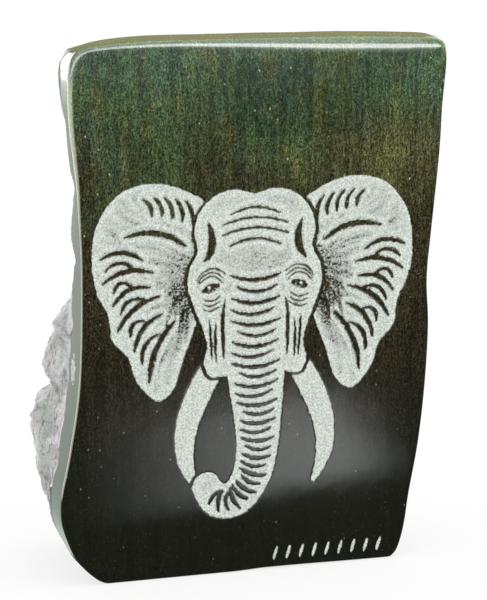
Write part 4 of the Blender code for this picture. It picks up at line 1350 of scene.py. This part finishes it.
def make_world():
    """White light all round, and for reflections a sky of its own."""
    scene = bpy.context.scene
    world = bpy.data.worlds.new("studio")
    scene.world = world
    world.use_nodes = True
    world.cycles.sampling_method = "NONE"
    tree = world.node_tree
    glossy = add(tree, "ShaderNodeLightPath", {}, "Is Glossy Ray")
    across, back, up = add(tree, "ShaderNodeTexCoord", {}, "Generated").parts()
    up = up.maths("MAXIMUM", 0.0001)
    angle = up.maths("ARCTAN2", back * -1.0)
    stops = [(degrees / 180, (*[c / BRIGHTEST for c in shade], 1)) for degrees, shade in SKY]
    sky = (angle * (1 / math.pi)).ramp(stops)
    behind = angle.between(*np.radians(BEHIND))
    sky = (behind * (up.between(*DARK_UP) * across.between(*DARK_ACROSS))).blend(sky, DARK_BEHIND)
    sky = (behind * across.between(*PALE_ACROSS)).blend(sky, PALE_BEHIND)
    falls, rises = np.radians(WEAKER_ANGLES)
    weaker = angle.between(*falls) * across.between(*WEAKER_ACROSS)
    sky = (weaker * angle.between(*rises, 0.0, WEAKER_SHARE)).blend(sky, WEAKER)
    sky = across.between(*SKY_END).blend(sky, BEYOND)
    white, mirrored_sky = (
        add(tree, "ShaderNodeBackground", {"Color": shade, "Strength": strength})
        for shade, strength in (((1, 1, 1, 1), 1.0), (sky, BRIGHTEST))
    )
    mix = add(tree, "ShaderNodeMixShader", {0: glossy, 1: white, 2: mirrored_sky})
    link(tree.nodes["World Output"].inputs["Surface"], mix)
    scene.view_settings.view_transform = "Standard"


FLOOR_SIZE = 12
FLOOR_COLOUR = (0.30, 0.30, 0.30, 1)
FLOOR_GLOW = 0.72


def plane(name, location):
    bpy.ops.mesh.primitive_plane_add(size=FLOOR_SIZE, location=location)
    floor = bpy.context.object
    floor.name = name
    material = bpy.data.materials.new(name)
    material.use_nodes = True
    material.cycles.emission_sampling = "NONE"
    floor.data.materials.append(material)
    return floor, material.node_tree


def make_floor():
    """A plain pale floor that the camera sees and that lights the block."""
    floor, tree = plane("floor", (0, 0, 0))
    floor.visible_glossy = False
    sockets = tree.nodes["Principled BSDF"].inputs
    for name, value in (
        ("Base Color", FLOOR_COLOUR), ("Roughness", 1.0), ("Specular IOR Level", 0.0),
        ("Emission Color", (1, 1, 1, 1)), ("Emission Strength", FLOOR_GLOW),
    ):
        sockets[name].default_value = value


# The mirrored floor: the face's left and right edges, sideways from the block's middle, and the
# bearings from them, in degrees from straight ahead, beyond which the floor is dark to the sides
MIRRORED_FLOOR_DEPTH = 0.0004
LEFT_EDGE = -0.049
RIGHT_EDGE = 0.054
LEFT_DARK = (-35, -70)
RIGHT_DARK = (50, 80)
SIDE_DARK = (0.06, 0.07, 0.05, 1)
# It is pale, and greyer far behind the block, in metres ahead and across from its middle
PALE = (1.0, 1.15, 1.02, 1)
GREYER = (0.58, 0.64, 0.58, 1)
GREYER_AHEAD = (-0.75, -1.05)
GREYER_ACROSS = (-0.15, -0.04)
# Behind on the left it grows brighter in steps, but for a stretch at these bearings
BRIGHTER_ACROSS = (-0.16, -0.34)
BRIGHTER = (
    ((-0.95, -1.30), (1.65, 1.75, 1.55, 1)),
    ((-1.40, -1.85), (2.2, 2.25, 2.05, 1)),
    ((-2.0, -3.2), (6.5, 6.5, 6.5, 1)),
)
STRAIGHT_BACK = (-165, -169)
STRAIGHT_BACK_AHEAD = (-1.2, -1.6)
STRAIGHT_BACK_LIGHT = (0.75, 0.82, 0.75, 1)
FAR_AHEAD = (1.55, 2.15)
FAR_LIGHT = (1.3, 1.5, 1.5, 1)
# A bright stretch along the left flank, between these bearings and from this far away
FLANK_BEARINGS = ((11, -38), (-158, -135))
FLANK_AWAY = (0.25, 0.34)
FLANK_LIGHT = (8.2, 8.4, 6.8, 1)
# The soft light patch in front: where it sets in and ends, ahead and across, and its two edges' slants
PATCH_AHEAD = ((0.060, 0.088), (0.270, 0.150))
PATCH_ACROSS = ((-0.055, 0.036), (0.068, 0.038))
PATCH_NEAR_SLANT = -0.30
PATCH_SIDE_SLANT = -0.277
PATCH_LIGHT = (2.8, 2.95, 2.95, 1)


def make_mirrored_floor(shift):
    """What the polish mirrors of the table: dark to the sides, pale behind, and one soft light patch."""
    floor, tree = plane("mirrored_floor", (shift[0], shift[1], -MIRRORED_FLOOR_DEPTH))
    floor.visible_camera = floor.visible_diffuse = floor.visible_shadow = False
    tree.nodes.remove(tree.nodes["Principled BSDF"])
    across, back, _ = add(tree, "ShaderNodeTexCoord", {}, "Object").parts()
    ahead = back * -1.0
    bearing, right_bearing = ((across + -edge).maths("ARCTAN2", ahead) for edge in (LEFT_EDGE, RIGHT_EDGE))
    left, right = bearing.between(*np.radians(LEFT_DARK)), right_bearing.between(*np.radians(RIGHT_DARK))
    greyer = ahead.between(*GREYER_AHEAD) * across.between(*GREYER_ACROSS)
    pale = greyer.blend(PALE, GREYER)
    behind_left = across.between(*BRIGHTER_ACROSS)
    for reach, light in BRIGHTER:
        pale = (ahead.between(*reach) * behind_left).blend(pale, light)
    straight_back = bearing.between(*np.radians(STRAIGHT_BACK)) * ahead.between(*STRAIGHT_BACK_AHEAD)
    pale = straight_back.blend(pale, STRAIGHT_BACK_LIGHT)
    light = left.maths("MAXIMUM", right).blend(SIDE_DARK, pale)
    light = ahead.between(*FAR_AHEAD).blend(light, FAR_LIGHT)
    away = (ahead * ahead + across * across).maths("SQRT")
    flank = bearing.window(*np.radians(FLANK_BEARINGS)) * away.between(*FLANK_AWAY)
    light = flank.blend(light, FLANK_LIGHT)
    nearness, farness = PATCH_AHEAD
    patch = (ahead + across * PATCH_NEAR_SLANT).between(*nearness) * ahead.between(*farness)
    patch = patch * (across + ahead * PATCH_SIDE_SLANT).window(*PATCH_ACROSS)
    light = patch.blend(light, PATCH_LIGHT)
    emission = add(tree, "ShaderNodeEmission", {"Color": light, "Strength": 1.0})
    link(tree.nodes["Material Output"].inputs["Surface"], emission)


stone, stone_shift = build_stone()
make_camera(stone_shift)
stone.data.materials.append(stone_material())
stone.visible_glossy = False
make_world()
make_floor()
make_mirrored_floor(stone_shift)
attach(stone, "root")
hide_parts("engraved_stone")
